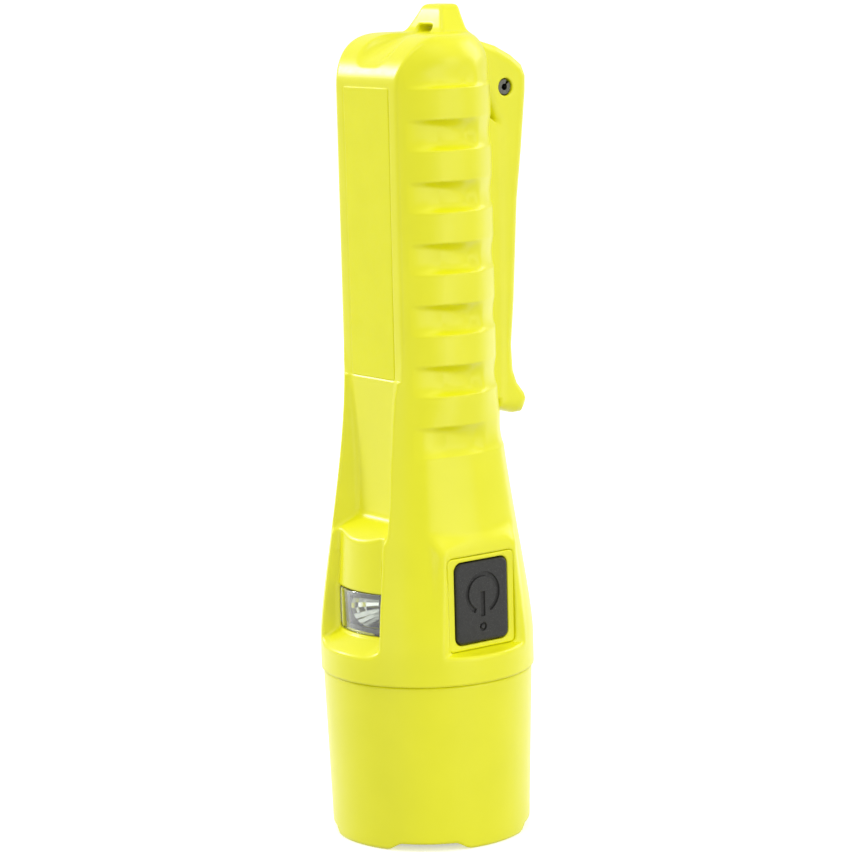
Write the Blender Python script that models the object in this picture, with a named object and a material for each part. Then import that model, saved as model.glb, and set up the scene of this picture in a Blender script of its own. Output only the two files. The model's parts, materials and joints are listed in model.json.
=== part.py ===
"""Firefighter's torch: three-cell moulded body with a main beam, a downcast lamp, a side switch and a belt clip.

The torch stands on its lens end. +Z runs up its length, the label rail faces -Y, the clip is at +Y and the
switch at +X. The origin is at the middle of the underside of its bounding box.
"""

import bmesh
import bpy
from math import cos, pi, radians, sin, sqrt
from mathutils import Matrix, Vector

MM = 0.001

# Frame. The beam axis lies a little forward of the middle, because the clip stands proud at the back.
BEAM_Y = -2.1 * MM

# Body shell
HEAD_R = 24.5 * MM
SEAM_Z = 38.7 * MM
GRIP_R = 17.3 * MM
TOP_Z = 183.0 * MM
FLARE_LOW_Z = 45.0 * MM
FLARE_HIGH_Z = 108.0 * MM
CROWN_Z = 169.5 * MM
CROWN_FLAT_R = 10.4 * MM
RAIL_Y = -13.4 * MM
RAIL_FOOT_Z = 106.5 * MM
RAIL_CORNER_R = 12.5 * MM
NECK_R = 22.0 * MM
NECK_BORE_R = 19.8 * MM
NECK_LOW_Z = 19.0 * MM
CELL_BORE_R = 15.4 * MM
CELL_BORE_TOP_Z = 164.0 * MM
WALL = 1.8 * MM

# Downcast recess and window, at the foot of the channel under the rail
RECESS_HALF_ANGLE = radians(27.5)
HOOD_R = 20.3 * MM
WINDOW_LOW_Z = 48.3 * MM
WINDOW_HIGH_Z = 58.9 * MM
WINDOW_HALF_ANGLE = radians(25.0)

# Switch
PAD_X = 20.7 * MM
PAD_HALF_Y = 11.2 * MM
FRAME_HALF_Y = 9.36 * MM
FRAME_LOW_Z = 45.65 * MM
FRAME_HIGH_Z = 66.92 * MM
BUTTON_HALF_Y = 7.34 * MM
BUTTON_LOW_Z = 47.14 * MM
BUTTON_HIGH_Z = 65.66 * MM

# Ribs on both flanks
RIB_PITCH = 13.65 * MM
GROOVE_TOP_Z = 164.2 * MM
GROOVE_HEIGHT = 6.9 * MM
GROOVE_DEPTH = 1.1 * MM
GROOVE_COUNT = 6
GROOVE_MID_ANGLE = radians(-14.0)

# Clip and its hinge
CLIP_HALF_X = 6.0 * MM
PIN_Y = 21.8 * MM
PIN_Z = 169.8 * MM
PIN_R = 1.9 * MM

# Shroud and optics
SHROUD_TOP_Z = 38.4 * MM
SHROUD_TOP_R = 24.0 * MM
SHROUD_RIM_R = 22.65 * MM
NOTCH_TURN = radians(51.0)
REFLECTOR_MOUTH_R = 17.6 * MM
REFLECTOR_MOUTH_Z = 8.3 * MM
REFLECTOR_APEX_Z = 30.5 * MM

# Battery pack: three AA cells side by side
CELL_R = 7.0 * MM
CELL_LENGTH = 50.5 * MM
CELL_LOW_Z = 107.0 * MM
CELL_SPACING = 14.1 * MM
PACK_LOW_Z = 101.0 * MM
PACK_HIGH_Z = 163.5 * MM
PLATE = 2.4 * MM

GAP = 0.3 * MM

ROUND = 48
SMALL_ROUND = 24


# ---------------------------------------------------------------- helpers

def clear_scene():
    for obj in list(bpy.data.objects):
        bpy.data.objects.remove(obj, do_unlink=True)


def mm(*points):
    """The same points in metres, from millimetres."""
    return [tuple(value * MM for value in point) for point in points]


def make_material(name, colour, roughness, metallic=0.0, transmission=0.0):
    material = bpy.data.materials.new(name)
    material.use_nodes = True
    shader = material.node_tree.nodes["Principled BSDF"]
    shader.inputs["Base Color"].default_value = (*colour, 1.0)
    shader.inputs["Roughness"].default_value = roughness
    shader.inputs["Metallic"].default_value = metallic
    shader.inputs["Transmission Weight"].default_value = transmission
    return material


def add_object(name, mesh_builder, material, parent, sharp=radians(35)):
    mesh = bpy.data.meshes.new(name)
    bmesh.ops.recalc_face_normals(mesh_builder, faces=mesh_builder.faces)
    mesh_builder.to_mesh(mesh)
    mesh_builder.free()
    mesh.shade_smooth()
    mesh.set_sharp_from_angle(angle=sharp)
    if material:
        mesh.materials.append(material)
    obj = bpy.data.objects.new(name, mesh)
    bpy.context.scene.collection.objects.link(obj)
    obj.parent = parent
    return obj


def add_cutter(name, mesh_builder, parent):
    cutter = add_object(name, mesh_builder, None, parent)
    cutter.hide_render = True
    cutter.display_type = "WIRE"
    return cutter


def boolean(target, other, operation):
    modifier = target.modifiers.new(f"{operation} {other.name}", "BOOLEAN")
    modifier.object = other
    modifier.operation = operation
    modifier.solver = "EXACT"


def cut(target, *cutters):
    for cutter in cutters:
        boolean(target, cutter, "DIFFERENCE")


def join(target, *others):
    for other in others:
        boolean(target, other, "UNION")


def turned(profile, segments, centre=(0.0, 0.0)):
    """A solid of revolution about Z from a closed (r, z) profile. Points at r = 0 become poles."""
    builder = bmesh.new()
    rings = []
    for r, z in profile:
        if r < 1e-7:
            rings.append([builder.verts.new((centre[0], centre[1], z))])
            continue
        ring = []
        for step in range(segments):
            angle = 2 * pi * step / segments
            ring.append(builder.verts.new((centre[0] + r * cos(angle), centre[1] + r * sin(angle), z)))
        rings.append(ring)
    for low, high in zip(rings, rings[1:] + rings[:1]):
        for step in range(segments):
            after = (step + 1) % segments
            if len(low) == 1 and len(high) == 1:
                break
            if len(low) == 1:
                builder.faces.new((low[0], high[after], high[step]))
            elif len(high) == 1:
                builder.faces.new((low[step], low[after], high[0]))
            else:
                builder.faces.new((low[step], low[after], high[after], high[step]))
    return builder


def swept(builder, profile, start, end, segments, centre=(0.0, 0.0)):
    """Adds the part of a turned solid that lies between two angles about Z."""
    sections = []
    for step in range(segments + 1):
        angle = start + (end - start) * step / segments
        section = [
            builder.verts.new((centre[0] + r * cos(angle), centre[1] + r * sin(angle), z))
            for r, z in profile
        ]
        sections.append(section)
    loft_faces(builder, sections)
    return builder


def loft_faces(builder, sections):
    count = len(sections[0])
    for low, high in zip(sections, sections[1:]):
        for index in range(count):
            after = (index + 1) % count
            builder.faces.new((low[index], low[after], high[after], high[index]))
    builder.faces.new(sections[0][::-1])
    builder.faces.new(sections[-1])


def lofted(*sections):
    """A solid through two or more closed sections, each a list of 3D points."""
    builder = bmesh.new()
    loft_faces(builder, [[builder.verts.new(point) for point in section] for section in sections])
    return builder


def prism(outline, axis, low, high):
    """An outline extruded along an axis. It holds (y, z) for X, (x, z) for Y and (x, y) for Z."""
    place = {
        "X": lambda a, b, depth: (depth, a, b),
        "Y": lambda a, b, depth: (a, depth, b),
        "Z": lambda a, b, depth: (a, b, depth),
    }[axis]
    return lofted(*[[place(a, b, depth) for a, b in outline] for depth in (low, high)])


def block(low, high):
    """A box between two corners."""
    outline = [(low[0], low[1]), (high[0], low[1]), (high[0], high[1]), (low[0], high[1])]
    return prism(outline, "Z", low[2], high[2])


def rod(axis, centre, radius, low, high, segments=SMALL_ROUND):
    """A round bar along an axis. The centre is in the other two coordinates, in order."""
    outline = []
    for step in range(segments):
        angle = 2 * pi * (step + 0.5) / segments
        outline.append((centre[0] + radius * cos(angle), centre[1] + radius * sin(angle)))
    return prism(outline, axis, low, high)


def rounded_rectangle(low, high, radius, steps=4):
    """Corner points of a rectangle with round corners, anticlockwise."""
    corners = [
        (high[0] - radius, high[1] - radius, 0.0),
        (low[0] + radius, high[1] - radius, 0.5 * pi),
        (low[0] + radius, low[1] + radius, pi),
        (high[0] - radius, low[1] + radius, 1.5 * pi),
    ]
    outline = []
    for a, b, start in corners:
        for step in range(steps + 1):
            angle = start + 0.5 * pi * step / steps
            outline.append((a + radius * cos(angle), b + radius * sin(angle)))
    return outline


def arc(centre, radius, start, end, steps):
    points = []
    for step in range(steps + 1):
        angle = start + (end - start) * step / steps
        points.append((centre[0] + radius * cos(angle), centre[1] + radius * sin(angle)))
    return points


def wire(name, points, radius, material, parent, resolution=1):
    """A round wire along a polyline, with closed ends."""
    curve = bpy.data.curves.new(name, "CURVE")
    curve.dimensions = "3D"
    curve.bevel_depth = radius
    curve.bevel_resolution = resolution
    curve.use_fill_caps = True
    spline = curve.splines.new("POLY")
    spline.points.add(len(points) - 1)
    for spline_point, point in zip(spline.points, points):
        spline_point.co = (*point, 1.0)
    curve.materials.append(material)
    obj = bpy.data.objects.new(name, curve)
    bpy.context.scene.collection.objects.link(obj)
    obj.parent = parent
    return obj


def coil_points(centre, radius, low, high, turns, per_turn=12):
    """A helix about a vertical axis between two heights."""
    count = int(turns * per_turn)
    points = []
    for step in range(count + 1):
        angle = 2 * pi * step / per_turn
        z = low + (high - low) * step / count
        points.append((centre[0] + radius * cos(angle), centre[1] + radius * sin(angle), z))
    return points


# ---------------------------------------------------------------- body shell

def flare_profile(steps=12):
    """The flare from head to grip: a cubic curve that leaves both ends vertically."""
    anchors = [
        Vector((HEAD_R, FLARE_LOW_Z)),
        Vector((HEAD_R, FLARE_LOW_Z + 11 * MM)),
        Vector((GRIP_R, FLARE_HIGH_Z - 20 * MM)),
        Vector((GRIP_R, FLARE_HIGH_Z)),
    ]
    points = []
    for step in range(steps + 1):
        t = step / steps
        s = 1 - t
        point = s**3 * anchors[0] + 3 * s * s * t * anchors[1] + 3 * s * t * t * anchors[2] + t**3 * anchors[3]
        points.append((point.x, point.y))
    return points


def crown_profile(steps=8, fullness=2.6):
    """The shoulder from the grip to the flat top, a superellipse that is fuller than a round corner."""
    points = []
    for step in range(steps + 1):
        angle = 0.5 * pi * step / steps
        r = CROWN_FLAT_R + (GRIP_R - CROWN_FLAT_R) * cos(angle) ** (2 / fullness)
        z = CROWN_Z + (TOP_Z - CROWN_Z) * sin(angle) ** (2 / fullness)
        points.append((r, z))
    return points


def body_profile():
    groove_floor = NECK_R - 1.3 * MM
    neck = [
        (0.0, NECK_LOW_Z),
        (NECK_R - 0.4 * MM, NECK_LOW_Z),
        (NECK_R, NECK_LOW_Z + 0.6 * MM),
        (NECK_R, 34.6 * MM),
        (groove_floor, 34.6 * MM),
        (groove_floor, 36.6 * MM),
        (NECK_R, 36.6 * MM),
        (NECK_R, SEAM_Z),
        (HEAD_R - 0.3 * MM, SEAM_Z),
        (HEAD_R, SEAM_Z + 0.4 * MM),
    ]
    return neck + flare_profile() + crown_profile() + [(0.0, TOP_Z)]


def rail_cutter(parent):
    """Everything in front of the label rail's face and its round upper corner."""
    corner = arc((RAIL_Y + RAIL_CORNER_R, TOP_Z - RAIL_CORNER_R), RAIL_CORNER_R, pi, 0.5 * pi, 8)
    front = -40 * MM
    above = TOP_Z + 10 * MM
    outline = [(RAIL_Y, RAIL_FOOT_Z)] + corner + [(corner[-1][0], above), (front, above), (front, RAIL_FOOT_Z)]
    return add_cutter("rail_cutter", prism(outline, "X", -30 * MM, 30 * MM), parent)


def channel_cutter(parent):
    """The channel that carries the rail's flat face down through the flare, narrowing to the hood."""
    front = -32 * MM
    upper = [(-10.4 * MM, front), (10.4 * MM, front), (10.2 * MM, RAIL_Y), (-10.2 * MM, RAIL_Y)]
    lower = [(-17.0 * MM, front), (17.0 * MM, front), (7.2 * MM, RAIL_Y), (-7.2 * MM, RAIL_Y)]
    sill = [(-17.0 * MM, front), (17.0 * MM, front), (10.0 * MM, -19.3 * MM), (-10.0 * MM, -19.3 * MM)]
    heights = [RAIL_FOOT_Z + 1 * MM, 73.2 * MM, 68.8 * MM]
    sections = [[(x, y, z) for x, y in flat] for flat, z in zip((upper, lower, sill), heights)]
    return add_cutter("channel_cutter", lofted(*sections), parent)


def recess_cutter(parent):
    """The recess in front of the hood and the downcast window, concentric with the head."""
    outer = 34 * MM
    profile = [
        (19.2 * MM, 69.4 * MM),
        (HOOD_R, WINDOW_HIGH_Z),
        (HOOD_R, WINDOW_LOW_Z),
        (HEAD_R + 0.4 * MM, 43.2 * MM),
        (outer, 43.2 * MM),
        (outer, 69.4 * MM),
    ]
    start = -0.5 * pi - RECESS_HALF_ANGLE
    end = -0.5 * pi + RECESS_HALF_ANGLE
    return add_cutter("recess_cutter", swept(bmesh.new(), profile, start, end, 12), parent)


def window_cutter(parent):
    profile = [
        (15 * MM, WINDOW_LOW_Z + 0.2 * MM),
        (22 * MM, WINDOW_LOW_Z + 0.2 * MM),
        (22 * MM, WINDOW_HIGH_Z - 0.2 * MM),
        (15 * MM, WINDOW_HIGH_Z - 0.2 * MM),
    ]
    start = -0.5 * pi - WINDOW_HALF_ANGLE
    end = -0.5 * pi + WINDOW_HALF_ANGLE
    return add_cutter("window_cutter", swept(bmesh.new(), profile, start, end, 10), parent)


def cavity_cutter(parent):
    """The hollow for the light engine and the cells, open at the neck."""
    profile = [
        (0.0, NECK_LOW_Z - 2 * MM),
        (NECK_BORE_R, NECK_LOW_Z - 2 * MM),
        (NECK_BORE_R, 62 * MM),
        (CELL_BORE_R, 98 * MM),
        (CELL_BORE_R, CELL_BORE_TOP_Z),
        (0.0, CELL_BORE_TOP_Z),
    ]
    cavity = add_cutter("cavity_cutter", turned(profile, ROUND), parent)
    front = -40 * MM
    hood_wall = add_cutter(
        "cavity_hood_limit", block((-30 * MM, front, 43 * MM), (30 * MM, -17.9 * MM, 75 * MM)), parent
    )
    rail_wall = add_cutter(
        "cavity_rail_limit", block((-30 * MM, front, 66.5 * MM), (30 * MM, RAIL_Y + WALL, 200 * MM)), parent
    )
    cut(cavity, hood_wall, rail_wall)
    return cavity


def groove_cutter(side, parent):
    """Six shallow scallops on one flank. Each is cut on a circle much larger than the grip, so it fades out."""
    offset = 14.0 * MM
    floor_r = GRIP_R - GROOVE_DEPTH + offset
    middle = GROOVE_MID_ANGLE if side > 0 else pi - GROOVE_MID_ANGLE
    centre = (-offset * cos(middle), -offset * sin(middle))
    half = radians(19)
    builder = bmesh.new()
    for index in range(GROOVE_COUNT):
        top = GROOVE_TOP_Z - index * RIB_PITCH
        bottom = top - GROOVE_HEIGHT
        floor = floor_r + 1.2 * MM if index == GROOVE_COUNT - 1 else floor_r
        profile = [
            (floor, top - 1.0 * MM),
            (floor, bottom + 2.0 * MM),
            (floor_r + 6 * MM, bottom - 2.0 * MM),
            (floor_r + 6 * MM, top + 3.0 * MM),
        ]
        swept(builder, profile, middle - half, middle + half, 8, centre)
    return add_cutter(f"groove_cutter_{'right' if side > 0 else 'left'}", builder, parent)


def pad_block(parent):
    """The raised land that carries the flat face around the switch."""
    outline = mm((12, 44.2), (20.7, 44.2), (20.7, 67.8), (19.2, 70.4), (12, 72.5))
    return add_cutter("pad_block", prism(outline, "Y", -PAD_HALF_Y, PAD_HALF_Y), parent)


def pad_cutters(parent):
    face = add_cutter(
        "pad_face_cutter",
        block((PAD_X, -PAD_HALF_Y, 43.8 * MM), (32 * MM, PAD_HALF_Y, 75 * MM)),
        parent,
    )
    outline = rounded_rectangle(
        (-FRAME_HALF_Y - GAP, FRAME_LOW_Z - GAP), (FRAME_HALF_Y + GAP, FRAME_HIGH_Z + GAP), 1.5 * MM
    )
    hole = add_cutter("switch_hole_cutter", prism(outline, "X", 12 * MM, 24 * MM), parent)
    return face, hole


def lanyard_loop(parent):
    """The tapered loop on the top, with its slot from front to back."""
    base = mm((-7.2, 3.0, 181.5), (7.2, 3.0, 181.5), (7.2, 10.6, 181.5), (-7.2, 10.6, 181.5))
    top = mm((-3.2, 6.1, 189.0), (3.2, 6.1, 189.0), (3.2, 10.85, 189.0), (-3.2, 10.85, 189.0))
    loop = add_cutter("loop_block", lofted(base, top), parent)
    bevel = loop.modifiers.new("round edges", "BEVEL")
    bevel.width = 1.0 * MM
    bevel.segments = 2
    slot_outline = rounded_rectangle((-2.6 * MM, 183.2 * MM), (2.6 * MM, 185.0 * MM), 0.6 * MM, 2)
    slot = add_cutter("lanyard_slot_cutter", prism(slot_outline, "Y", 0.0, 14 * MM), parent)
    return loop, slot


def clip_seat(parent):
    """The pocket behind the crown where the clip's head turns, and the two lugs that hold its pin."""
    pocket = add_cutter(
        "clip_pocket_cutter",
        block((-6.6 * MM, 11.6 * MM, 166.0 * MM), (6.6 * MM, 30 * MM, 200 * MM)),
        parent,
    )
    lugs = []
    foot = mm((10.8, 173.2), (10.8, 166.6), (17.0, 166.4))
    nose = arc((PIN_Y, PIN_Z), 3.5 * MM, radians(-95), radians(95), 8)
    for side, low, high in (("left", -3.0, -1.5), ("right", 1.5, 3.0)):
        lugs.append(add_cutter(f"lug_{side}", prism(foot + nose, "X", low * MM, high * MM), parent))
    hole = add_cutter(
        "lug_hole_cutter", rod("X", (PIN_Y, PIN_Z), PIN_R + GAP, -10 * MM, 10 * MM), parent
    )
    return pocket, lugs, hole


def label_cutter(parent):
    outline = mm((-8.75, 171.9), (-8.35, 106.1), (8.35, 106.1), (8.75, 171.9))
    return add_cutter("label_cutter", prism(outline, "Y", -20 * MM, RAIL_Y + 0.9 * MM), parent)


def build_body_shell(material, parent):
    shell = add_object("body_shell", turned(body_profile(), ROUND), material, parent)
    loop, slot = lanyard_loop(parent)
    pocket, lugs, lug_hole = clip_seat(parent)
    join(shell, pad_block(parent), loop)
    cut(shell, rail_cutter(parent), channel_cutter(parent), recess_cutter(parent))
    cut(shell, groove_cutter(1, parent), groove_cutter(-1, parent), *pad_cutters(parent))
    cut(shell, slot, label_cutter(parent), pocket)
    join(shell, *lugs)
    cut(shell, lug_hole, cavity_cutter(parent), window_cutter(parent))


def build_label_panel(material, parent):
    outline = mm((-8.45, 171.6), (-8.05, 106.4), (8.05, 106.4), (8.45, 171.6))
    add_object("label_panel", prism(outline, "Y", RAIL_Y + 0.15 * MM, RAIL_Y + 0.6 * MM), material, parent)


# ---------------------------------------------------------------- shroud and front optics

def notch_cutter(index, parent):
    """A trapezoid notch in the shroud's rim."""
    outline = mm((-10.1, -1.0), (10.1, -1.0), (6.7, 1.6), (-6.7, 1.6))
    builder = prism(outline, "Y", 14 * MM, 30 * MM)
    turn = pi + NOTCH_TURN + index * 0.5 * pi
    builder.transform(Matrix.Rotation(turn, 4, "Z"))
    return add_cutter(f"notch_cutter_{index + 1}", builder, parent)


def build_shroud(material, parent):
    profile = [
        (20.3 * MM, 0.0),
        (SHROUD_RIM_R - 0.4 * MM, 0.0),
        (SHROUD_RIM_R, 0.5 * MM),
        (SHROUD_TOP_R, SHROUD_TOP_Z - 0.4 * MM),
        (SHROUD_TOP_R - 0.3 * MM, SHROUD_TOP_Z),
        (22.5 * MM, SHROUD_TOP_Z),
        (22.5 * MM, 19.2 * MM),
        (21.6 * MM, 18.6 * MM),
        (21.6 * MM, 8.6 * MM),
        (20.7 * MM, 8.6 * MM),
        (20.7 * MM, 3.2 * MM),
        (18.6 * MM, 3.2 * MM),
        (18.6 * MM, 2.2 * MM),
    ]
    shroud = add_object("lens_shroud", turned(profile, ROUND), material, parent)
    cut(shroud, *[notch_cutter(index, parent) for index in range(4)])


def build_front_optics(clear, rubber, parent):
    lens = [(0.0, 3.5), (20.2, 3.5), (20.4, 3.8), (20.4, 5.9), (20.2, 6.1), (0.0, 6.1)]
    add_object("main_lens", turned(mm(*lens), ROUND), clear, parent)
    gasket = [(18.4, 6.4), (20.4, 6.4), (20.4, 8.0), (18.4, 8.0)]
    add_object("lens_gasket", turned(mm(*gasket), ROUND), rubber, parent)


def build_head_oring(material, parent):
    profile = arc((NECK_R - 0.35 * MM, 35.6 * MM), 0.65 * MM, 0, 2 * pi * 7 / 8, 7)
    add_object("head_oring", turned(profile, 36), material, parent)


# ---------------------------------------------------------------- light engine

def paraboloid(low_z, high_z, steps, extra=0.0):
    """Points on the main reflector's curve from mouth to base, moved outward by a wall."""
    focal = REFLECTOR_MOUTH_R**2 / (REFLECTOR_APEX_Z - REFLECTOR_MOUTH_Z)
    points = []
    for step in range(steps + 1):
        z = low_z + (high_z - low_z) * step / steps
        points.append((sqrt(focal * (REFLECTOR_APEX_Z - z)) + extra, z))
    return points


def build_main_reflector(material, parent):
    base_z = 29.2 * MM
    inner = paraboloid(REFLECTOR_MOUTH_Z, base_z, 7)
    outer = paraboloid(10.4 * MM, 28.2 * MM, 5, 0.9 * MM)[::-1]
    flange = [(20.6 * MM, 9.9 * MM), (20.6 * MM, REFLECTOR_MOUTH_Z)]
    base = [(7.0 * MM, base_z + 1.6 * MM), (7.0 * MM, 28.2 * MM)]
    rim = [(outer[-1][0], 9.9 * MM)]
    collar = [(inner[-1][0], base_z + 1.6 * MM)]
    profile = inner + collar + base + outer + rim + flange
    add_object("main_reflector", turned(profile, 36), material, parent)


def build_main_emitter(board, lamp, metal, parent):
    disc = [(0.0, 31.1), (10.0, 31.1), (10.0, 32.7), (0.0, 32.7)]
    add_object("main_led_board", turned(mm(*disc), SMALL_ROUND * 2), board, parent)
    dome = arc((0.0, 28.6 * MM), 1.4 * MM, -0.5 * pi, 0.0, 4)
    led = [(1.9 * MM, 28.9 * MM), (2.4 * MM, 29.2 * MM), (2.4 * MM, 30.8 * MM), (0.0, 30.8 * MM)]
    add_object("main_led", turned(dome + led, SMALL_ROUND), lamp, parent)
    build_heat_sink(metal, parent)


def build_heat_sink(material, parent):
    """A puck with radial fins behind the main emitter's board."""
    fins = 14
    outline = []
    for index in range(fins * 4):
        r = (17.4 if index % 4 in (0, 1) else 14.0) * MM
        angle = 2 * pi * (index + 0.5) / (fins * 4)
        outline.append((r * cos(angle), r * sin(angle)))
    add_object("heat_sink", prism(outline, "Z", 33.0 * MM, 40.6 * MM), material, parent)


def build_engine_housing(material, parent):
    profile = [
        (18.2, 10.7), (21.2, 10.7), (21.2, 18.6), (19.4, 18.7), (19.4, 42.7), (4.0, 42.7),
        (4.0, 40.9), (18.2, 40.9),
    ]
    add_object("engine_housing", turned(mm(*profile), ROUND), material, parent)


def build_engine_chassis(material, parent):
    """The upright plate with a foot and a head, which carries the boards above the housing."""
    plate = prism(mm((-12.4, 44.9), (12.4, 44.9), (12.4, 70), (10.5, 97), (-10.5, 97), (-12.4, 70)),
                  "Y", 1.5 * MM, 3.5 * MM)
    chassis = add_object("engine_chassis", plate, material, parent)
    foot = add_cutter("chassis_foot", rod("Z", (0, 0), 16.0 * MM, 44.3 * MM, 46.3 * MM, 32), parent)
    head = add_cutter("chassis_head", rod("Z", (0, 0), 14.6 * MM, 95.2 * MM, 97.2 * MM, 32), parent)
    front = add_cutter(
        "chassis_front_cutter", block((-20 * MM, -30 * MM, 90 * MM), (20 * MM, -11.0 * MM, 99 * MM)), parent
    )
    join(chassis, foot, head)
    cut(chassis, front, *screw_hole_cutters("chassis", parent))


SCREW_X = 8.0 * MM
SCREW_HEIGHTS = (52.0 * MM, 90.0 * MM)


def screw_places():
    return [(SCREW_X * side, z) for z in SCREW_HEIGHTS for side in (-1, 1)]


def screw_hole_cutters(owner, parent):
    cutters = []
    for index, place in enumerate(screw_places()):
        shaft = rod("Y", place, 1.4 * MM, -2 * MM, 9 * MM, 16)
        cutters.append(add_cutter(f"{owner}_screw_hole_{index + 1}", shaft, parent))
    return cutters


def build_driver_board(board, parent):
    plate = prism(rounded_rectangle((-10.5 * MM, 48.5 * MM), (10.5 * MM, 93.5 * MM), 1 * MM, 2),
                  "Y", 3.8 * MM, 5.2 * MM)
    driver = add_object("driver_board", plate, board, parent)
    parts = [((-5.5, 4.5, 58), (0.5, 8.0, 64)), ((2.5, 4.5, 66), (6.5, 7.2, 72)),
             ((-6.0, 4.5, 74), (-2.0, 6.6, 82)), ((1.5, 4.5, 78), (5.0, 9.0, 84))]
    for index, (low, high) in enumerate(parts):
        part = add_cutter(f"driver_part_{index + 1}", block(*mm(low, high)), parent)
        join(driver, part)
    cut(driver, *screw_hole_cutters("driver", parent))


def build_board_screws(metal, parent):
    """Pan-head screws that hold the driver board to the chassis."""
    profile = mm((0.0, -0.5), (1.05, -0.5), (1.05, 5.5), (2.1, 5.5), (2.1, 6.3), (1.4, 6.9), (0.0, 6.9))
    for index, (x, z) in enumerate(screw_places()):
        builder = turned(profile, 16)
        builder.transform(Matrix.Translation((x, 0, z)) @ Matrix.Rotation(-0.5 * pi, 4, "X"))
        add_object(f"board_screw_{index + 1}", builder, metal, parent)


def build_downcast(clear, rubber, mirror, board, lamp, root, engine):
    """The small lamp that looks out through the window in the hood."""
    start = -0.5 * pi - WINDOW_HALF_ANGLE + 0.016
    end = -0.5 * pi + WINDOW_HALF_ANGLE - 0.016
    low = WINDOW_LOW_Z + 0.5 * MM
    high = WINDOW_HIGH_Z - 0.5 * MM
    lens = [(19.0 * MM, low), (20.2 * MM, low), (20.2 * MM, high), (19.0 * MM, high)]
    add_object("downcast_lens", swept(bmesh.new(), lens, start, end, 14), clear, root)

    seat = [(18.4 * MM, low), (18.75 * MM, low), (18.75 * MM, high), (18.4 * MM, high)]
    gasket = add_object("downcast_gasket", swept(bmesh.new(), seat, start, end, 14), rubber, root)
    opening = block((-6.2 * MM, -22 * MM, low + 1.4 * MM), (6.2 * MM, -14 * MM, high - 1.4 * MM))
    cut(gasket, add_cutter("gasket_opening_cutter", opening, root))

    middle = 0.5 * (low + high)
    body = block((-8.2 * MM, -16.4 * MM, low), (8.2 * MM, -9.2 * MM, high))
    reflector = add_object("downcast_reflector", body, mirror, engine)
    bowl = []
    for depth, half_x, half_z in ((-17.6, 7.9, 4.45), (-15.0, 6.9, 4.0), (-12.0, 4.9, 3.1), (-8.6, 2.1, 2.1)):
        ring = [(half_x * MM * cos(2 * pi * k / 24), depth * MM, middle + half_z * MM * sin(2 * pi * k / 24))
                for k in range(24)]
        bowl.append(ring)
    cut(reflector, add_cutter("bowl_cutter", lofted(*bowl), engine))

    add_object("downcast_led_board", block((-8.0 * MM, -8.9 * MM, 48.6 * MM), (8.0 * MM, -7.7 * MM, 58.6 * MM)),
               board, engine)
    dome = turned(mm((0.0, 0.0), (1.5, 0.0), (1.5, 0.9), (1.1, 1.9), (0.0, 2.4)), 16)
    dome.transform(Matrix.Translation((0, -9.2 * MM, middle)) @ Matrix.Rotation(0.5 * pi, 4, "X"))
    add_object("downcast_led", dome, lamp, engine)


def build_downcast_lead(material, engine):
    """The insulated wire from the downcast board up to the chassis head."""
    route = mm((0, -7.1, 58.0), (0, -6.9, 62), (0.6, -5.6, 68), (1.4, -3.6, 76), (1.8, -2.2, 84),
               (1.8, -1.6, 90), (1.8, -1.5, 94.5))
    wire("downcast_lead", route, 0.55 * MM, material, engine, 2)


def build_switch_electronics(board, black, engine):
    plate = prism(rounded_rectangle((-7.0 * MM, 47.0 * MM), (7.0 * MM, 66.0 * MM), 1 * MM, 2),
                  "X", 12.9 * MM, 14.1 * MM)
    add_object("switch_board", plate, board, engine)
    plunger = turned(mm((0.0, 0.0), (3.0, 0.0), (3.0, 0.8), (1.5, 0.8), (1.5, 1.3), (0.0, 1.3)), 16)
    plunger.transform(Matrix.Translation((14.4 * MM, 0, 58.0 * MM)) @ Matrix.Rotation(0.5 * pi, 4, "Y"))
    add_object("tact_switch", plunger, black, engine)


# ---------------------------------------------------------------- switch

def build_switch(yellow, black, root, button_slide):
    outer = rounded_rectangle((-FRAME_HALF_Y, FRAME_LOW_Z), (FRAME_HALF_Y, FRAME_HIGH_Z), 1.2 * MM)
    frame = add_object("switch_frame", prism(outer, "X", 16.3 * MM, PAD_X), yellow, root)
    gap = 0.25 * MM
    inner = rounded_rectangle(
        (-BUTTON_HALF_Y - gap, BUTTON_LOW_Z - gap), (BUTTON_HALF_Y + gap, BUTTON_HIGH_Z + gap), 2.0 * MM
    )
    cut(frame, add_cutter("frame_opening_cutter", prism(inner, "X", 14 * MM, 24 * MM), root))

    key = rounded_rectangle((-BUTTON_HALF_Y, BUTTON_LOW_Z), (BUTTON_HALF_Y, BUTTON_HIGH_Z), 1.8 * MM)
    button = add_object("switch_button", prism(key, "X", 18.2 * MM, 21.2 * MM), black, button_slide)
    bevel = button.modifiers.new("round edges", "BEVEL")
    bevel.width = 0.5 * MM
    bevel.segments = 2
    bevel.limit_method = "ANGLE"

    boot = prism(
        rounded_rectangle((-7.2 * MM, 47.3 * MM), (7.2 * MM, 65.5 * MM), 1.6 * MM), "X", 16.3 * MM, 16.9 * MM
    )
    add_object("switch_boot", boot, black, root)


# ---------------------------------------------------------------- battery pack

def cell_places():
    """Centres of the three cells: two at the front, one at the back."""
    reach = CELL_SPACING / sqrt(3)
    return [(reach * cos(angle), reach * sin(angle)) for angle in (radians(-150), radians(-30), radians(90))]


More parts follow.
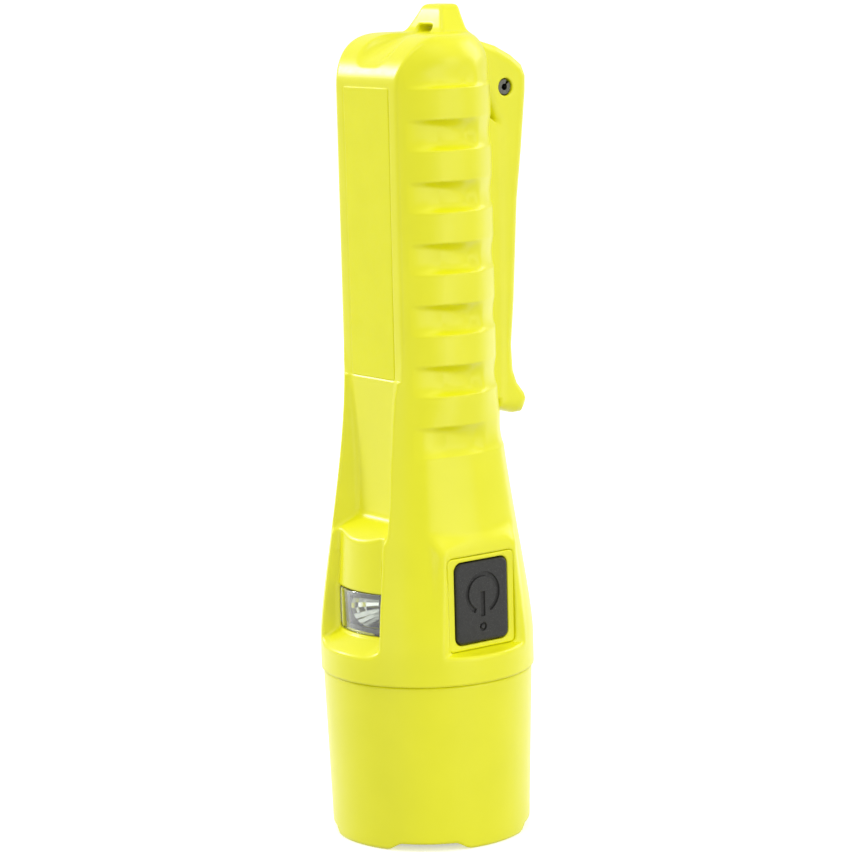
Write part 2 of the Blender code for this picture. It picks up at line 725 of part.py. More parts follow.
def build_cells(jacket, parent):
    nub = 1.3 * MM
    profile = [
        (0.0, 0.0),
        (CELL_R - 1.2 * MM, 0.0),
        (CELL_R - 0.6 * MM, 0.3 * MM),
        (CELL_R, 0.9 * MM),
        (CELL_R, CELL_LENGTH - nub - 0.6 * MM),
        (CELL_R - 0.7 * MM, CELL_LENGTH - nub),
        (2.7 * MM, CELL_LENGTH - nub),
        (2.6 * MM, CELL_LENGTH),
        (0.0, CELL_LENGTH),
    ]
    for index, (x, y) in enumerate(cell_places()):
        builder = turned(profile, SMALL_ROUND)
        if index == 1:
            builder.transform(Matrix.Translation((0, 0, CELL_LENGTH)) @ Matrix.Rotation(pi, 4, "X"))
        builder.transform(Matrix.Translation((x, y, CELL_LOW_Z)))
        add_object(f"cell_{index + 1}", builder, jacket, parent)


def build_carrier(black, parent):
    """Two end plates joined by three webs that run between the cells."""
    web = mm((-3.4, -10.9), (3.4, -10.9), (0.5, -7.4), (-0.5, -7.4))
    carrier = add_object("battery_carrier", prism(web, "Z", PACK_LOW_Z + MM, PACK_HIGH_Z - MM), black, parent)
    for index in (1, 2):
        builder = prism(web, "Z", PACK_LOW_Z + MM, PACK_HIGH_Z - MM)
        builder.transform(Matrix.Rotation(index * 2 * pi / 3, 4, "Z"))
        join(carrier, add_cutter(f"carrier_web_{index + 1}", builder, parent))
    for name, low, high in (("low", PACK_LOW_Z, PACK_LOW_Z + PLATE), ("high", PACK_HIGH_Z - PLATE, PACK_HIGH_Z)):
        join(carrier, add_cutter(f"carrier_plate_{name}", rod("Z", (0, 0), 14.9 * MM, low, high, 36), parent))
    front = block((-20 * MM, -30 * MM, 95 * MM), (20 * MM, -11.1 * MM, 170 * MM))
    cut(carrier, add_cutter("carrier_front_cutter", front, parent))


def build_cell_contacts(steel, brass, parent):
    """A coil spring at each cell's flat end and a contact button at its nub."""
    low = PACK_LOW_Z + PLATE + GAP
    high = PACK_HIGH_Z - PLATE - GAP
    cell_high = CELL_LOW_Z + CELL_LENGTH
    wire_r = 0.4 * MM
    for index, (x, y) in enumerate(cell_places()):
        flat_at_top = index == 1
        spring_low, spring_high = (cell_high + GAP, high) if flat_at_top else (low, CELL_LOW_Z - GAP)
        points = coil_points((x, y), 3.2 * MM, spring_low + wire_r, spring_high - wire_r, 2.5)
        wire(f"cell_spring_{index + 1}", points, wire_r, steel, parent)
        rise = CELL_LOW_Z - GAP - low
        profile = [(0.0, 0.0), (3.4 * MM, 0.0), (3.4 * MM, 0.5 * MM), (2.0 * MM, 0.9 * MM),
                   (1.6 * MM, rise), (0.0, rise)]
        builder = turned(profile, 16)
        if flat_at_top:
            builder.transform(Matrix.Translation((x, y, low)))
        else:
            builder.transform(Matrix.Translation((x, y, high)) @ Matrix.Rotation(pi, 4, "X"))
        add_object(f"cell_contact_{index + 1}", builder, brass, parent)


def build_pack_springs(steel, parent):
    """The two sprung contacts on the chassis head that press on the pack."""
    for name, x in (("positive_spring", 0.0), ("negative_spring", 9.5 * MM)):
        points = coil_points((x, 6.0 * MM), 2.2 * MM, 97.9 * MM, 100.3 * MM, 2.5)
        wire(name, points, 0.4 * MM, steel, parent)


# ---------------------------------------------------------------- clip

def clip_outline():
    outer = mm(
        (14.7, 180.5), (16.1, 180.4), (20.4, 179.1), (24.7, 176.9), (27.6, 174.7), (28.7, 172.1), (28.6, 168.7),
        (27.1, 155.2), (25.6, 143.8), (24.1, 120.9), (23.1, 110.6), (23.4, 104.8), (24.5, 101.8), (26.5, 99.3),
        (27.1, 97.8), (26.4, 96.0), (25.5, 94.7), (23.4, 94.7),
    )
    inner = mm(
        (18.1, 96.3), (18.4, 104.0), (18.8, 125.0), (19.2, 155.0), (19.1, 162.5), (17.9, 164.9), (15.4, 169.2),
        (14.3, 175.0), (14.3, 179.6),
    )
    return outer + inner


def clip_local(outline):
    """The same outline measured from the hinge pin."""
    return [(y - PIN_Y, z - PIN_Z) for y, z in outline]


def build_clip(yellow, steel, root, hinge):
    lever = add_object(
        "clip_lever", prism(clip_local(clip_outline()), "X", -CLIP_HALF_X, CLIP_HALF_X), yellow, hinge
    )
    bevel = lever.modifiers.new("round edges", "BEVEL")
    bevel.width = 0.7 * MM
    bevel.segments = 2
    bevel.limit_method = "ANGLE"
    bevel.angle_limit = radians(60)
    head = mm((8, 160), (8, 177.8), (16.2, 177.9), (20.2, 176.6), (23.9, 174.6), (25.9, 171.6), (25.8, 168.4),
              (24.7, 160.5), (22.6, 157.5), (16, 157.5))
    back = mm((14, 104), (14, 153), (21.2, 153), (20.8, 125), (20.4, 104))
    cut(
        lever,
        add_cutter("clip_head_cutter", prism(clip_local(head), "X", -3.4 * MM, 3.4 * MM), hinge),
        add_cutter("clip_back_cutter", prism(clip_local(back), "X", -4.0 * MM, 4.0 * MM), hinge),
        add_cutter("clip_hole_cutter", rod("X", (0, 0), PIN_R + GAP, -10 * MM, 10 * MM), hinge),
    )
    add_object("clip_pin", rod("X", (PIN_Y, PIN_Z), PIN_R, -5.5 * MM, 5.5 * MM), steel, root)

    turns = 2.5
    per_turn = 12
    radius = PIN_R + 0.75 * MM
    half = 0.75 * MM
    count = int(turns * per_turn)
    points = mm((-0.75, 15.4, 168.6), (-0.75, 18.2, 167.4))
    for step in range(count + 1):
        angle = -0.5 * pi - 2 * pi * step / per_turn
        x = -half + 2 * half * step / count
        points.append((x, PIN_Y + radius * cos(angle), PIN_Z + radius * sin(angle)))
    wire("clip_spring", points, 0.3 * MM, steel, root)


# ---------------------------------------------------------------- assembly

def build_torch():
    yellow = make_material("fluorescent_yellow", (0.78, 0.86, 0.03), 0.45)
    label = make_material("label_yellow", (0.74, 0.82, 0.04), 0.35)
    black = make_material("black_rubber", (0.03, 0.03, 0.03), 0.6)
    moulded = make_material("black_plastic", (0.04, 0.04, 0.045), 0.5)
    clear = make_material("clear_polycarbonate", (0.95, 0.97, 0.97), 0.05, transmission=1.0)
    mirror = make_material("metallised", (0.9, 0.9, 0.9), 0.08, 1.0)
    steel = make_material("steel", (0.55, 0.55, 0.55), 0.3, 1.0)
    brass = make_material("brass", (0.72, 0.55, 0.25), 0.3, 1.0)
    alloy = make_material("aluminium", (0.7, 0.7, 0.72), 0.35, 1.0)
    board = make_material("circuit_board", (0.05, 0.22, 0.1), 0.4)
    lamp = make_material("led_phosphor", (0.9, 0.8, 0.3), 0.3)
    jacket = make_material("cell_jacket", (0.12, 0.12, 0.13), 0.35)

    root = bpy.data.objects.new("beam_axis", None)
    root.location = (0, BEAM_Y, 0)
    bpy.context.scene.collection.objects.link(root)
    hinge = bpy.data.objects.new("clip_hinge", None)
    hinge.location = (0, PIN_Y, PIN_Z)
    hinge.parent = root
    bpy.context.scene.collection.objects.link(hinge)

    build_body_shell(yellow, root)
    build_label_panel(label, root)
    build_shroud(yellow, root)
    build_front_optics(clear, black, root)
    build_head_oring(black, root)
    build_main_reflector(mirror, root)
    build_main_emitter(board, lamp, alloy, root)
    build_engine_housing(moulded, root)
    build_engine_chassis(moulded, root)
    build_driver_board(board, root)
    build_board_screws(steel, root)
    build_downcast(clear, black, mirror, board, lamp, root, root)
    build_downcast_lead(black, root)
    build_switch_electronics(board, moulded, root)
    build_switch(yellow, black, root, root)
    build_cells(jacket, root)
    build_carrier(moulded, root)
    build_cell_contacts(steel, brass, root)
    build_pack_springs(steel, root)
    build_clip(yellow, steel, root, hinge)


clear_scene()
build_torch()
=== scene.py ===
"""Looks of the firefighter's torch: moulded shells, clip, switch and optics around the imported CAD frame.

Moulded parts are written as fields, in millimetres from the beam axis: a field is negative inside the part
and its zero surface is the skin. Smooth unions and cuts give the soft edges of injection moulding.
"""

import json
from math import cos, pi, radians, sin, sqrt

import bmesh
import bpy
import numpy as np
import openvdb
from mathutils import Matrix, Vector


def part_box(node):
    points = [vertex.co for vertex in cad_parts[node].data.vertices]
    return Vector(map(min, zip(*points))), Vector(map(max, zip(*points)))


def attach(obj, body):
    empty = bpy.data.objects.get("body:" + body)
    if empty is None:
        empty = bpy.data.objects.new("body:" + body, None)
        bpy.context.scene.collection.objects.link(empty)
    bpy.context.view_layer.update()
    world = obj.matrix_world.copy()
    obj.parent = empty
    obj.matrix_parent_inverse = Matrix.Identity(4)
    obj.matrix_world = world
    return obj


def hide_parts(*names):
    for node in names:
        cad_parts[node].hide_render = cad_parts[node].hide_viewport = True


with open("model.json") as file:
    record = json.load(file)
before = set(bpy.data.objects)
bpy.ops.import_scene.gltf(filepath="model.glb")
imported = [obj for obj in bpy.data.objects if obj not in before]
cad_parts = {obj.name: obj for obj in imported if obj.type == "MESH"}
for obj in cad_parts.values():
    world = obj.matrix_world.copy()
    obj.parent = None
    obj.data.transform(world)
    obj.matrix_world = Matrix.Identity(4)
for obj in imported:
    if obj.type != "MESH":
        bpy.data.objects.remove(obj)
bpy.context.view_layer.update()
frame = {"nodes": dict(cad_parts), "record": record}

MM = 0.001
LENS_LOW, LENS_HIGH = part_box("main_lens")
AXIS = Vector((0.0, 0.5 * (LENS_LOW.y + LENS_HIGH.y), 0.0))


def extent(node):
    """Lowest and highest corners of a CAD node, in millimetres from the beam axis."""
    low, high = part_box(node)
    return np.array((low - AXIS) / MM), np.array((high - AXIS) / MM)


# Boxes of the CAD nodes that the pieces stand for
SHELL_LOW, SHELL_HIGH = extent("body_shell")
SHROUD_LOW, SHROUD_HIGH = extent("lens_shroud")
LABEL_LOW, LABEL_HIGH = extent("label_panel")
WINDOW_LOW, WINDOW_HIGH = extent("downcast_lens")
FRAME_LOW, FRAME_HIGH = extent("switch_frame")
BUTTON_LOW, BUTTON_HIGH = extent("switch_button")
PIN_LOW, PIN_HIGH = extent("clip_pin")
CLIP_LOW, CLIP_HIGH = extent("clip_lever")

# Driving dimensions, in millimetres
HEAD_R = 24.5
TOP_Z = SHELL_HIGH[2] - 6.0
SEAM_Z = SHROUD_HIGH[2] + 0.10
NECK_LOW_Z = SHELL_LOW[2]
GRIP_R = 17.3
CROWN_Z = TOP_Z - 13.5
CROWN_FLAT_R = 10.4
CROWN_FULLNESS = 2.6
RAIL_Y = LABEL_LOW[1] - 0.12
RAIL_CORNER_R = 12.5
RAIL_FOOT_Z = LABEL_LOW[2]
PAD_X = FRAME_HIGH[0]
PIN_Y = 0.5 * (PIN_LOW[1] + PIN_HIGH[1])
PIN_Z = 0.5 * (PIN_LOW[2] + PIN_HIGH[2])
PIN_R = 0.5 * (PIN_HIGH[2] - PIN_LOW[2])


# ---------------------------------------------------------------- fields

def smooth_max(a, b, blend):
    """The larger of two fields, with their crossing rounded over a width. It rounds the edge of a cut."""
    near = np.maximum(blend - np.abs(a - b), 0.0) / blend
    return np.maximum(a, b) + near * near * blend * 0.25


def smooth_min(a, b, blend):
    """The smaller of two fields, with a fillet between them. It joins two shapes."""
    return -smooth_max(-a, -b, blend)


def ramp(low, high, value):
    """From 0 at low to 1 at high, easing at both ends."""
    t = np.clip((value - low) / (high - low), 0.0, 1.0)
    return t * t * (3.0 - 2.0 * t)


def rounded_box(u, v, half_u, half_v, radius):
    """Distance to a rectangle with round corners, in two coordinates."""
    a = np.abs(u) - half_u + radius
    b = np.abs(v) - half_v + radius
    return np.hypot(np.maximum(a, 0.0), np.maximum(b, 0.0)) + np.minimum(np.maximum(a, b), 0.0) - radius


def polygon(u, v, outline):
    """Distance to a closed outline, negative inside it."""
    distance = np.full(np.broadcast(u, v).shape, 1e9)
    sign = np.ones_like(distance)
    for (ax, ay), (bx, by) in zip(outline, outline[1:] + outline[:1]):
        ex, ey = bx - ax, by - ay
        wx, wy = u - ax, v - ay
        t = np.clip((wx * ex + wy * ey) / (ex * ex + ey * ey), 0.0, 1.0)
        distance = np.minimum(distance, (wx - ex * t) ** 2 + (wy - ey * t) ** 2)
        above, below, side = v >= ay, v < by, ex * wy > ey * wx
        crossing = (above & below & side) | (~above & ~below & ~side)
        sign = np.where(crossing, -sign, sign)
    return sign * np.sqrt(distance)


def bezier(anchors, steps):
    """Points on a cubic curve."""
    t = np.linspace(0.0, 1.0, steps)[:, None]
    a, b, c, d = (np.array(anchor) for anchor in anchors)
    s = 1.0 - t
    return s**3 * a + 3 * s * s * t * b + 3 * s * t * t * c + t**3 * d


def skin_of(field, low, high, pitch):
    """Points and faces on a field's zero surface. The points are moved onto the surface by its own slope."""
    counts = np.ceil((high - low) / pitch).astype(int) + 1
    x = (low[0] + pitch * np.arange(counts[0]))[:, None, None]
    y = (low[1] + pitch * np.arange(counts[1]))[None, :, None]
    z = (low[2] + pitch * np.arange(counts[2]))[None, None, :]
    values = np.broadcast_to(field(x, y, z), tuple(counts))
    grid = openvdb.FloatGrid(3.0 * pitch)
    grid.copyFromArray(np.ascontiguousarray(values.clip(-3.0 * pitch, 3.0 * pitch), dtype=np.float32))
    points, quads = grid.convertToQuads(0.0)
    points = low + pitch * points.astype(float)
    step = 0.02
    for _ in range(3):
        px, py, pz = points.T
        here = field(px, py, pz)
        slope = np.stack(
            [
                field(px + step, py, pz) - field(px - step, py, pz),
                field(px, py + step, pz) - field(px, py - step, pz),
                field(px, py, pz + step) - field(px, py, pz - step),
            ],
            axis=1,
        ) / (2.0 * step)
        move = -here[:, None] * slope / np.maximum((slope**2).sum(axis=1), 0.05)[:, None]
        points += np.clip(move, -0.5 * pitch, 0.5 * pitch)
    return points, quads


# ---------------------------------------------------------------- body shell

# The body's radius against height, and the six scoops on each flank
FLARE = bezier([(HEAD_R, 45.0), (HEAD_R, 56.0), (GRIP_R, 88.0), (GRIP_R, 108.0)], 160)
RIB_PITCH = 13.65
GROOVE_TOP_Z = 164.5
GROOVE_HEIGHT = 6.9
GROOVE_COUNT = 6
CROWN_STEP_TOP_Z = GROOVE_TOP_Z + RIB_PITCH
GROOVE_DEPTH = 1.75
CROWN_STEP_DEPTH = 0.6
RIB_SWELL = 0.45

# Sill and recess at the foot of the channel under the rail
SILL_TOP_Z = 74.4
SILL_FOOT_Z = 70.2
SILL_FOOT_R = 19.3
RECESS_WEDGE = radians(26.5)
SEAT_WEDGE = radians(25.0)
WINDOW_WEDGE = radians(24.1)
WINDOW_MID_R = 19.6
HOOD_VALLEY_R = 19.2

# Land around the switch
LAND_HALF_Y = 11.3
LAND_SHOULDER_Z = 69.8

# Lanyard loop, clip notch, threaded neck and hollow
LOOP_FOOT_Z = 181.5
LANYARD_SLOT_Z = 183.75
NOTCH_HALF_X = 6.7
NOTCH_FRONT_Y = 11.6
NOTCH_FOOT_Z = 166.0
LUG_NOSE_R = 3.5
NECK_R = 21.75
THREAD_PITCH = 3.0
THREAD_HEIGHT = 0.45
ORING_GROOVE_DEPTH = 1.2
HOLLOW_TOP_Z = 164.0
RAIL_WALL = 1.8
LEAST_WALL = 0.75
BODY_PITCH = 0.36


def radius_at(z):
    """The body's radius at a height, before the grooves."""
    return np.interp(z, FLARE[:, 1], FLARE[:, 0])


def groove_depth(x, y, z):
    """Six scoops on each flank: a face that looks down from under each rib, a floor, and a step out.

    The face is short and steep near the rail, and stretches into a gentle slope round the side. Above the
    top scoop, a shallow step marks the foot of the crown. Below zero, the ribs stand proud by their swell.
    """
    turn = np.degrees(np.arctan2(y, np.abs(x)))
    deepens = np.clip((turn + 43.0) / 25.0, 0.0, 1.0)
    ends = 1.0 - 0.72 * ramp(8.0, 20.0, turn)
    fades = 1.0 - ramp(56.0, 78.0, turn)
    down = GROOVE_TOP_Z - z
    index = np.clip(np.floor((down + 1.0) / RIB_PITCH), 0, GROOVE_COUNT - 1)
    local = down - index * RIB_PITCH
    face = np.interp(turn, [-43.0, -16.0, 12.0], [1.0, 1.9, 4.0])
    under = np.clip(local / face, 0.0, 1.0)
    under = under * (1.5 - 0.5 * under**2)
    rise = np.clip((local - 2.6) / (GROOVE_HEIGHT - 2.6), 0.0, 1.0)
    last = np.where(index == GROOVE_COUNT - 1, 0.7, 1.0)
    scoop = last * under * (1.0 - rise**4)
    crown_local = CROWN_STEP_TOP_Z - z
    crown_rise = np.clip((crown_local - 5.6) / (GROOVE_HEIGHT - 5.6), 0.0, 1.0)
    crown_step = CROWN_STEP_DEPTH * ramp(0.0, 5.6, crown_local) * (1.0 - crown_rise**3)
    depth = np.where(crown_local < GROOVE_HEIGHT, crown_step, scoop)
    ribbed = ramp(88.0, 96.0, z) * ramp(CROWN_STEP_TOP_Z, CROWN_STEP_TOP_Z - GROOVE_HEIGHT, z)
    swell = RIB_SWELL * deepens * (1.0 - ramp(10.0, 35.0, turn)) * ribbed
    return (GROOVE_DEPTH + swell) * deepens * ends * fades * depth - swell


def channel(x, y, z):
    """The cut that carries the rail's flat face down to the hood, between two walls that lean outward."""
    heights = [46.0, 66.0, 73.0, 79.0, 86.0, 97.0, 103.0, 108.0, 118.0]
    floor_half = np.interp(z, heights, [7.6, 7.6, 7.6, 7.0, 6.7, 7.4, 8.3, 9.4, 14.0])
    edge_half = np.interp(z, heights, [10.7, 10.4, 10.4, 10.2, 9.6, 9.3, 9.5, 10.3, 14.0])
    rim_depth = np.sqrt(np.maximum(radius_at(z) ** 2 - edge_half**2, 0.0)) + RAIL_Y
    lean = (edge_half - floor_half) / np.maximum(rim_depth, 0.6)
    wall = (np.abs(x) - floor_half + lean * (y - RAIL_Y)) / np.sqrt(1.0 + lean**2)
    shape = smooth_max(wall, y - RAIL_Y, 0.8)
    sill = np.array([RAIL_Y + SILL_FOOT_R, SILL_TOP_Z - SILL_FOOT_Z])
    sill /= np.hypot(*sill)
    ledge = -(z - SILL_TOP_Z) * sill[0] + (y - RAIL_Y) * sill[1]
    return smooth_max(shape, ledge, 1.2)


def inside_wedge(x, y, wedge):
    """Negative between two upright planes through the beam axis, on the hood's side."""
    return np.abs(x) * cos(wedge) + y * sin(wedge)


def recess(x, y, z):
    """The recess in front of the hood and the downcast window, with a valley on each side of the hood."""
    rho = np.hypot(x, y)
    face = np.interp(z, [44.3, 48.1, 59.0, 70.8], [24.9, 20.3, 20.3, 19.3]) - rho
    wall = inside_wedge(x, y, RECESS_WEDGE)
    corner = 1.4 + 3.4 * ramp(49.0, 44.5, z)
    front = smooth_max(smooth_max(face, wall, corner), z - 71.0, 0.8)
    hood_half = np.interp(z, [58.0, 68.0], [8.7, 7.4])
    valley = smooth_max(hood_half - np.abs(x), HOOD_VALLEY_R - rho, 0.5)
    valley = smooth_max(smooth_max(valley, np.abs(z - 62.0) - 4.6, 2.0), wall, 0.9)
    return smooth_min(front, np.maximum(valley, y + 10.0), 0.3)


def window_hole(x, y, z):
    """A seat for the window, and a narrower opening through to the bowl."""
    rho = np.hypot(x, y)
    middle = 0.5 * (WINDOW_LOW[2] + WINDOW_HIGH[2])
    half = 0.5 * (WINDOW_HIGH[2] - WINDOW_LOW[2])
    seat = np.maximum(inside_wedge(x, y, SEAT_WEDGE), np.abs(z - middle) - half - 0.12)
    seat = np.maximum(seat, 18.9 - rho)
    opening = rounded_box(x, z - middle, 6.8, half - 0.5, 1.0) + 0.0 * y
    return np.minimum(seat, np.maximum(opening, np.maximum(15.0 - rho, y + 6.0)))


def switch_land(x, y, z):
    """The soft raised land around the switch."""
    side = np.abs(y) - LAND_HALF_Y
    shoulder = 0.50 * (x - PAD_X) + 0.87 * (z - LAND_SHOULDER_Z)
    land = smooth_max(smooth_max(x - PAD_X, side, 2.6), shoulder, 2.4)
    return np.maximum(smooth_max(land, np.abs(z - 58.5) - 14.5, 2.0), 8.0 - x)


def switch_flat(x, y, z):
    """What the switch's flat face takes off the round head.

    It leaves a shelf below the face and a gentle slope on each side.
    """
    shelf = 0.98 * (FRAME_LOW[2] - 0.12 - z) - 0.20 * (x - PAD_X)
    side = 0.57 * (np.abs(y) - FRAME_HIGH[1] - 0.15) - 0.82 * (x - PAD_X)
    flat = smooth_max(PAD_X - x, side, 1.6)
    return smooth_max(np.maximum(flat, z - 76.0), shelf, 0.5)


def switch_pocket(x, y, z):
    """The pocket that the switch frame sits in."""
    middle = 0.5 * (FRAME_LOW[2] + FRAME_HIGH[2])
    half_y = FRAME_HIGH[1] + 0.09
    half_z = 0.5 * (FRAME_HIGH[2] - FRAME_LOW[2]) + 0.09
    outline = rounded_box(y, z - middle, half_y, half_z, 1.4)
    return np.maximum(outline, FRAME_LOW[0] - 1.0 - x)


def label_outline(x, z):
    """A long panel that narrows a little towards its foot."""
    middle = 0.5 * (LABEL_LOW[2] + LABEL_HIGH[2])
    half_z = 0.5 * (LABEL_HIGH[2] - LABEL_LOW[2])
    half_x = np.interp(z, [LABEL_LOW[2], LABEL_HIGH[2]], [LABEL_HIGH[0] - 0.4, LABEL_HIGH[0]])
    return smooth_max(np.abs(x) - half_x, np.abs(z - middle) - half_z, 0.8)


def label_recess(x, y, z):
    """The shallow recess that the label plate sits in."""
    return np.maximum(label_outline(x, z) - 0.10, y - LABEL_LOW[1] - 0.12)


def label_field(x, y, z):
    """The label plate, a little below the rail's face."""
    middle_y = 0.5 * (LABEL_LOW[1] + LABEL_HIGH[1])
    return smooth_max(label_outline(x, z), np.abs(y - middle_y) - 0.5 * (LABEL_HIGH[1] - LABEL_LOW[1]), 0.2)


def lanyard_loop(x, y, z):
    """The tapered loop on the crown."""
    top = SHELL_HIGH[2]
    height = np.clip((z - LOOP_FOOT_Z) / (top - LOOP_FOOT_Z), 0.0, 1.0)
    half_x = 3.6 + 4.4 * (1.0 - height) ** 1.2
    front = 5.8 - 3.4 * (1.0 - height) ** 1.2
    back = 10.6 + 0.25 * height
    across = rounded_box(x, y - 0.5 * (front + back), half_x, 0.5 * (back - front), 0.7)
    return np.maximum(smooth_max(across, z - top, 1.3), 176.0 - z)


def lanyard_slot(x, y, z):
    """The cord slot, bell-mouthed at both ends."""
    flare = 0.018 * (y - 7.5) ** 2
    return rounded_box(x, z - LANYARD_SLOT_Z, 2.4, 0.62, 0.6) - flare


def clip_pocket(x, y, z):
    """The notch behind the crown where the clip's head turns."""
    notch = smooth_max(np.abs(x) - NOTCH_HALF_X, NOTCH_FRONT_Y - y, 1.0)
    return smooth_max(notch, NOTCH_FOOT_Z - z, 1.0)


def lugs(x, y, z):
    """The two lugs that hold the clip's pin."""
    outline = [(10.0, 174.0), (10.0, 166.2), (17.0, 166.0)]
    nose = [
        (PIN_Y + LUG_NOSE_R * cos(radians(a)), PIN_Z + LUG_NOSE_R * sin(radians(a)))
        for a in range(-95, 96, 19)
    ]
    side = polygon(y, z, outline + nose)
    return smooth_max(side, np.abs(np.abs(x) - 2.25) - 0.75, 0.4)


def neck(x, y, z):
    """The threaded neck that the shroud runs on, with the O-ring groove."""
    rho = np.hypot(x, y)
    turns = (z - NECK_LOW_Z) / THREAD_PITCH - np.arctan2(y, x) / (2.0 * pi)
    ridge = np.abs(turns - np.round(turns)) * 2.0
    thread = THREAD_HEIGHT * ramp(0.25, 0.8, 1.0 - ridge) * ramp(20.0, 21.5, z)
    thread = thread * (1.0 - ramp(31.5, 33.0, z))
    groove = ORING_GROOVE_DEPTH * ramp(34.4, 34.8, z) * (1.0 - ramp(36.4, 36.8, z))
    shape = rho - NECK_R - thread + groove
    return smooth_max(smooth_max(shape, NECK_LOW_Z - z, 0.8), z - SEAM_Z - 4.0, 0.5)


def cavity(x, y, z):
    """The hollow for the light engine and the cells, kept a wall away from the rail and the hood."""
    rho = np.hypot(x, y)
    bore = np.interp(z, [62.0, 98.0], [19.8, 15.4])
    inside = np.maximum(rho - bore, z - HOLLOW_TOP_Z)
    hood_wall = np.where((z > 43.0) & (z < 75.0), -17.9 - y, -30.0 - y)
    rail_wall = np.where(z > 66.5, RAIL_Y + RAIL_WALL - y, -30.0 - y)
    return np.maximum(inside, np.maximum(hood_wall, rail_wall))


def body_field(x, y, z):
    """The one-piece body. The hollow stays a least wall inside everything above the neck."""
    rho = np.hypot(x, y)
    flatness = ramp(0.80, 1.0, np.abs(x) / np.maximum(rho, 1.0))
    flank = 1.3 * flatness * ramp(60.0, 72.0, z) * (1.0 - ramp(88.0, 104.0, z))
    skin = smooth_min(rho - radius_at(z) + flank, switch_land(x, y, z), 1.8)
    skin = skin + groove_depth(x, y, z)
    span = GRIP_R - CROWN_FLAT_R
    across = np.maximum(skin + span, 0.0) / span
    above = np.clip((z - CROWN_Z) / (TOP_Z - CROWN_Z), 0.0, None)
    shape = span * ((across**CROWN_FULLNESS + above**CROWN_FULLNESS) ** (1.0 / CROWN_FULLNESS) - 1.0)
    front = -y - (-RAIL_Y - RAIL_CORNER_R)
    over = z - (TOP_Z - RAIL_CORNER_R)
    corner = np.hypot(np.maximum(front, 0.0), np.maximum(over, 0.0)) - RAIL_CORNER_R
    edge_blend = 0.5 * ramp(RAIL_FOOT_Z, RAIL_FOOT_Z + 12.0, z) + 0.01
    shape = np.where(z > RAIL_FOOT_Z, smooth_max(shape, corner, edge_blend), shape)
    shape = smooth_max(shape, -channel(x, y, z), 0.6)
    shape = smooth_max(shape, -recess(x, y, z), 0.7)
    shape = smooth_max(shape, -switch_flat(x, y, z), 0.8)
    shape = smooth_min(shape, lanyard_loop(x, y, z), 1.0)
    shape = smooth_max(shape, -lanyard_slot(x, y, z), 0.6)
    shape = smooth_max(shape, -clip_pocket(x, y, z), 1.2)
    shape = smooth_min(shape, lugs(x, y, z), 0.5)
    shape = smooth_max(shape, PIN_R + 0.3 - np.hypot(y - PIN_Y, z - PIN_Z), 0.3)
    outside = shape
    shape = smooth_max(shape, SEAM_Z - z, 0.3)
    shape = smooth_min(shape, neck(x, y, z), 0.3)
    shape = smooth_max(shape, -switch_pocket(x, y, z), 0.2)
    shape = smooth_max(shape, -label_recess(x, y, z), 0.12)
    shape = smooth_max(shape, -window_hole(x, y, z), 0.4)
    return smooth_max(shape, -np.maximum(cavity(x, y, z), outside + LEAST_WALL), 0.4)


# ---------------------------------------------------------------- shroud

def rim_notches(x, y, z):
    """Four notches in the shroud's rim, which let light out when the torch stands on its lens."""
    notches = None
    for index in range(4):
        turn = radians(-90.0 + 51.0 + 90.0 * index)
        outward = x * cos(turn) + y * sin(turn)
        across = np.abs(y * cos(turn) - x * sin(turn))
        half = np.interp(z, [0.0, 1.6], [9.0, 6.7])
        notch = np.maximum(smooth_max(across - half, z - 1.6, 0.7), 14.0 - outward)
        notches = notch if notches is None else np.minimum(notches, notch)
    return notches


def shroud_field(x, y, z):
    """The screw-on shroud: a tapered cup, stepped inside for the lens, its gasket and the neck."""
    rho = np.hypot(x, y)
    outer_r = np.interp(z, [0.0, SHROUD_HIGH[2]], [22.72, SHROUD_HIGH[0]])
    bore_heights = [0.0, 2.0, 3.2, 3.25, 8.6, 8.65, 18.6, 19.2]
    bore_r = np.interp(z, bore_heights, [20.5, 18.6, 18.6, 20.7, 20.7, 21.6, 21.6, 22.5])
    shape = smooth_max(rho - outer_r, z - SHROUD_HIGH[2], 0.5)
    shape = smooth_max(shape, -z, 1.0)
    shape = smooth_max(shape, bore_r - rho, 0.5)
    return smooth_max(shape, -rim_notches(x, y, z), 0.8)


# ---------------------------------------------------------------- clip

def clip_side():
    """The clip's outline seen from the side, from its nose over the back to the foot and up the inside."""
    back = [
        (14.7, 180.5), (16.1, 180.4), (20.4, 179.1), (24.7, 176.9), (27.6, 174.7), (28.7, 172.1),
        (28.6, 168.7), (27.1, 155.2), (25.6, 143.8), (24.1, 120.9), (23.1, 110.6), (23.4, 104.8),
        (24.5, 101.8), (26.5, 99.3), (27.1, 97.8), (26.4, 96.0), (25.5, 94.7), (23.4, 94.7),
    ]
    inside = [
        (18.1, 96.3), (18.4, 104.0), (18.8, 125.0), (19.2, 155.0), (19.1, 162.5), (17.9, 164.9),
        (15.4, 169.2), (14.3, 175.0), (14.3, 179.6),
    ]
    return back + inside


CLIP_HEAD_HOLLOW = [
    (8, 160), (8, 177.8), (16.2, 177.9), (20.2, 176.6), (23.9, 174.6), (25.9, 171.6), (25.8, 168.4),
    (24.7, 160.5), (22.6, 157.5), (16, 157.5),
]
CLIP_FLANGE = [
    (14.0, 98.5), (14.0, 159.5), (16.6, 164.0), (20.6, 161.0), (20.6, 155.0), (20.2, 125.0), (20.0, 98.5),
]
CLIP_CLEARANCE = 0.35
CLIP_CLEARANCE_TOP_Z = 158.0


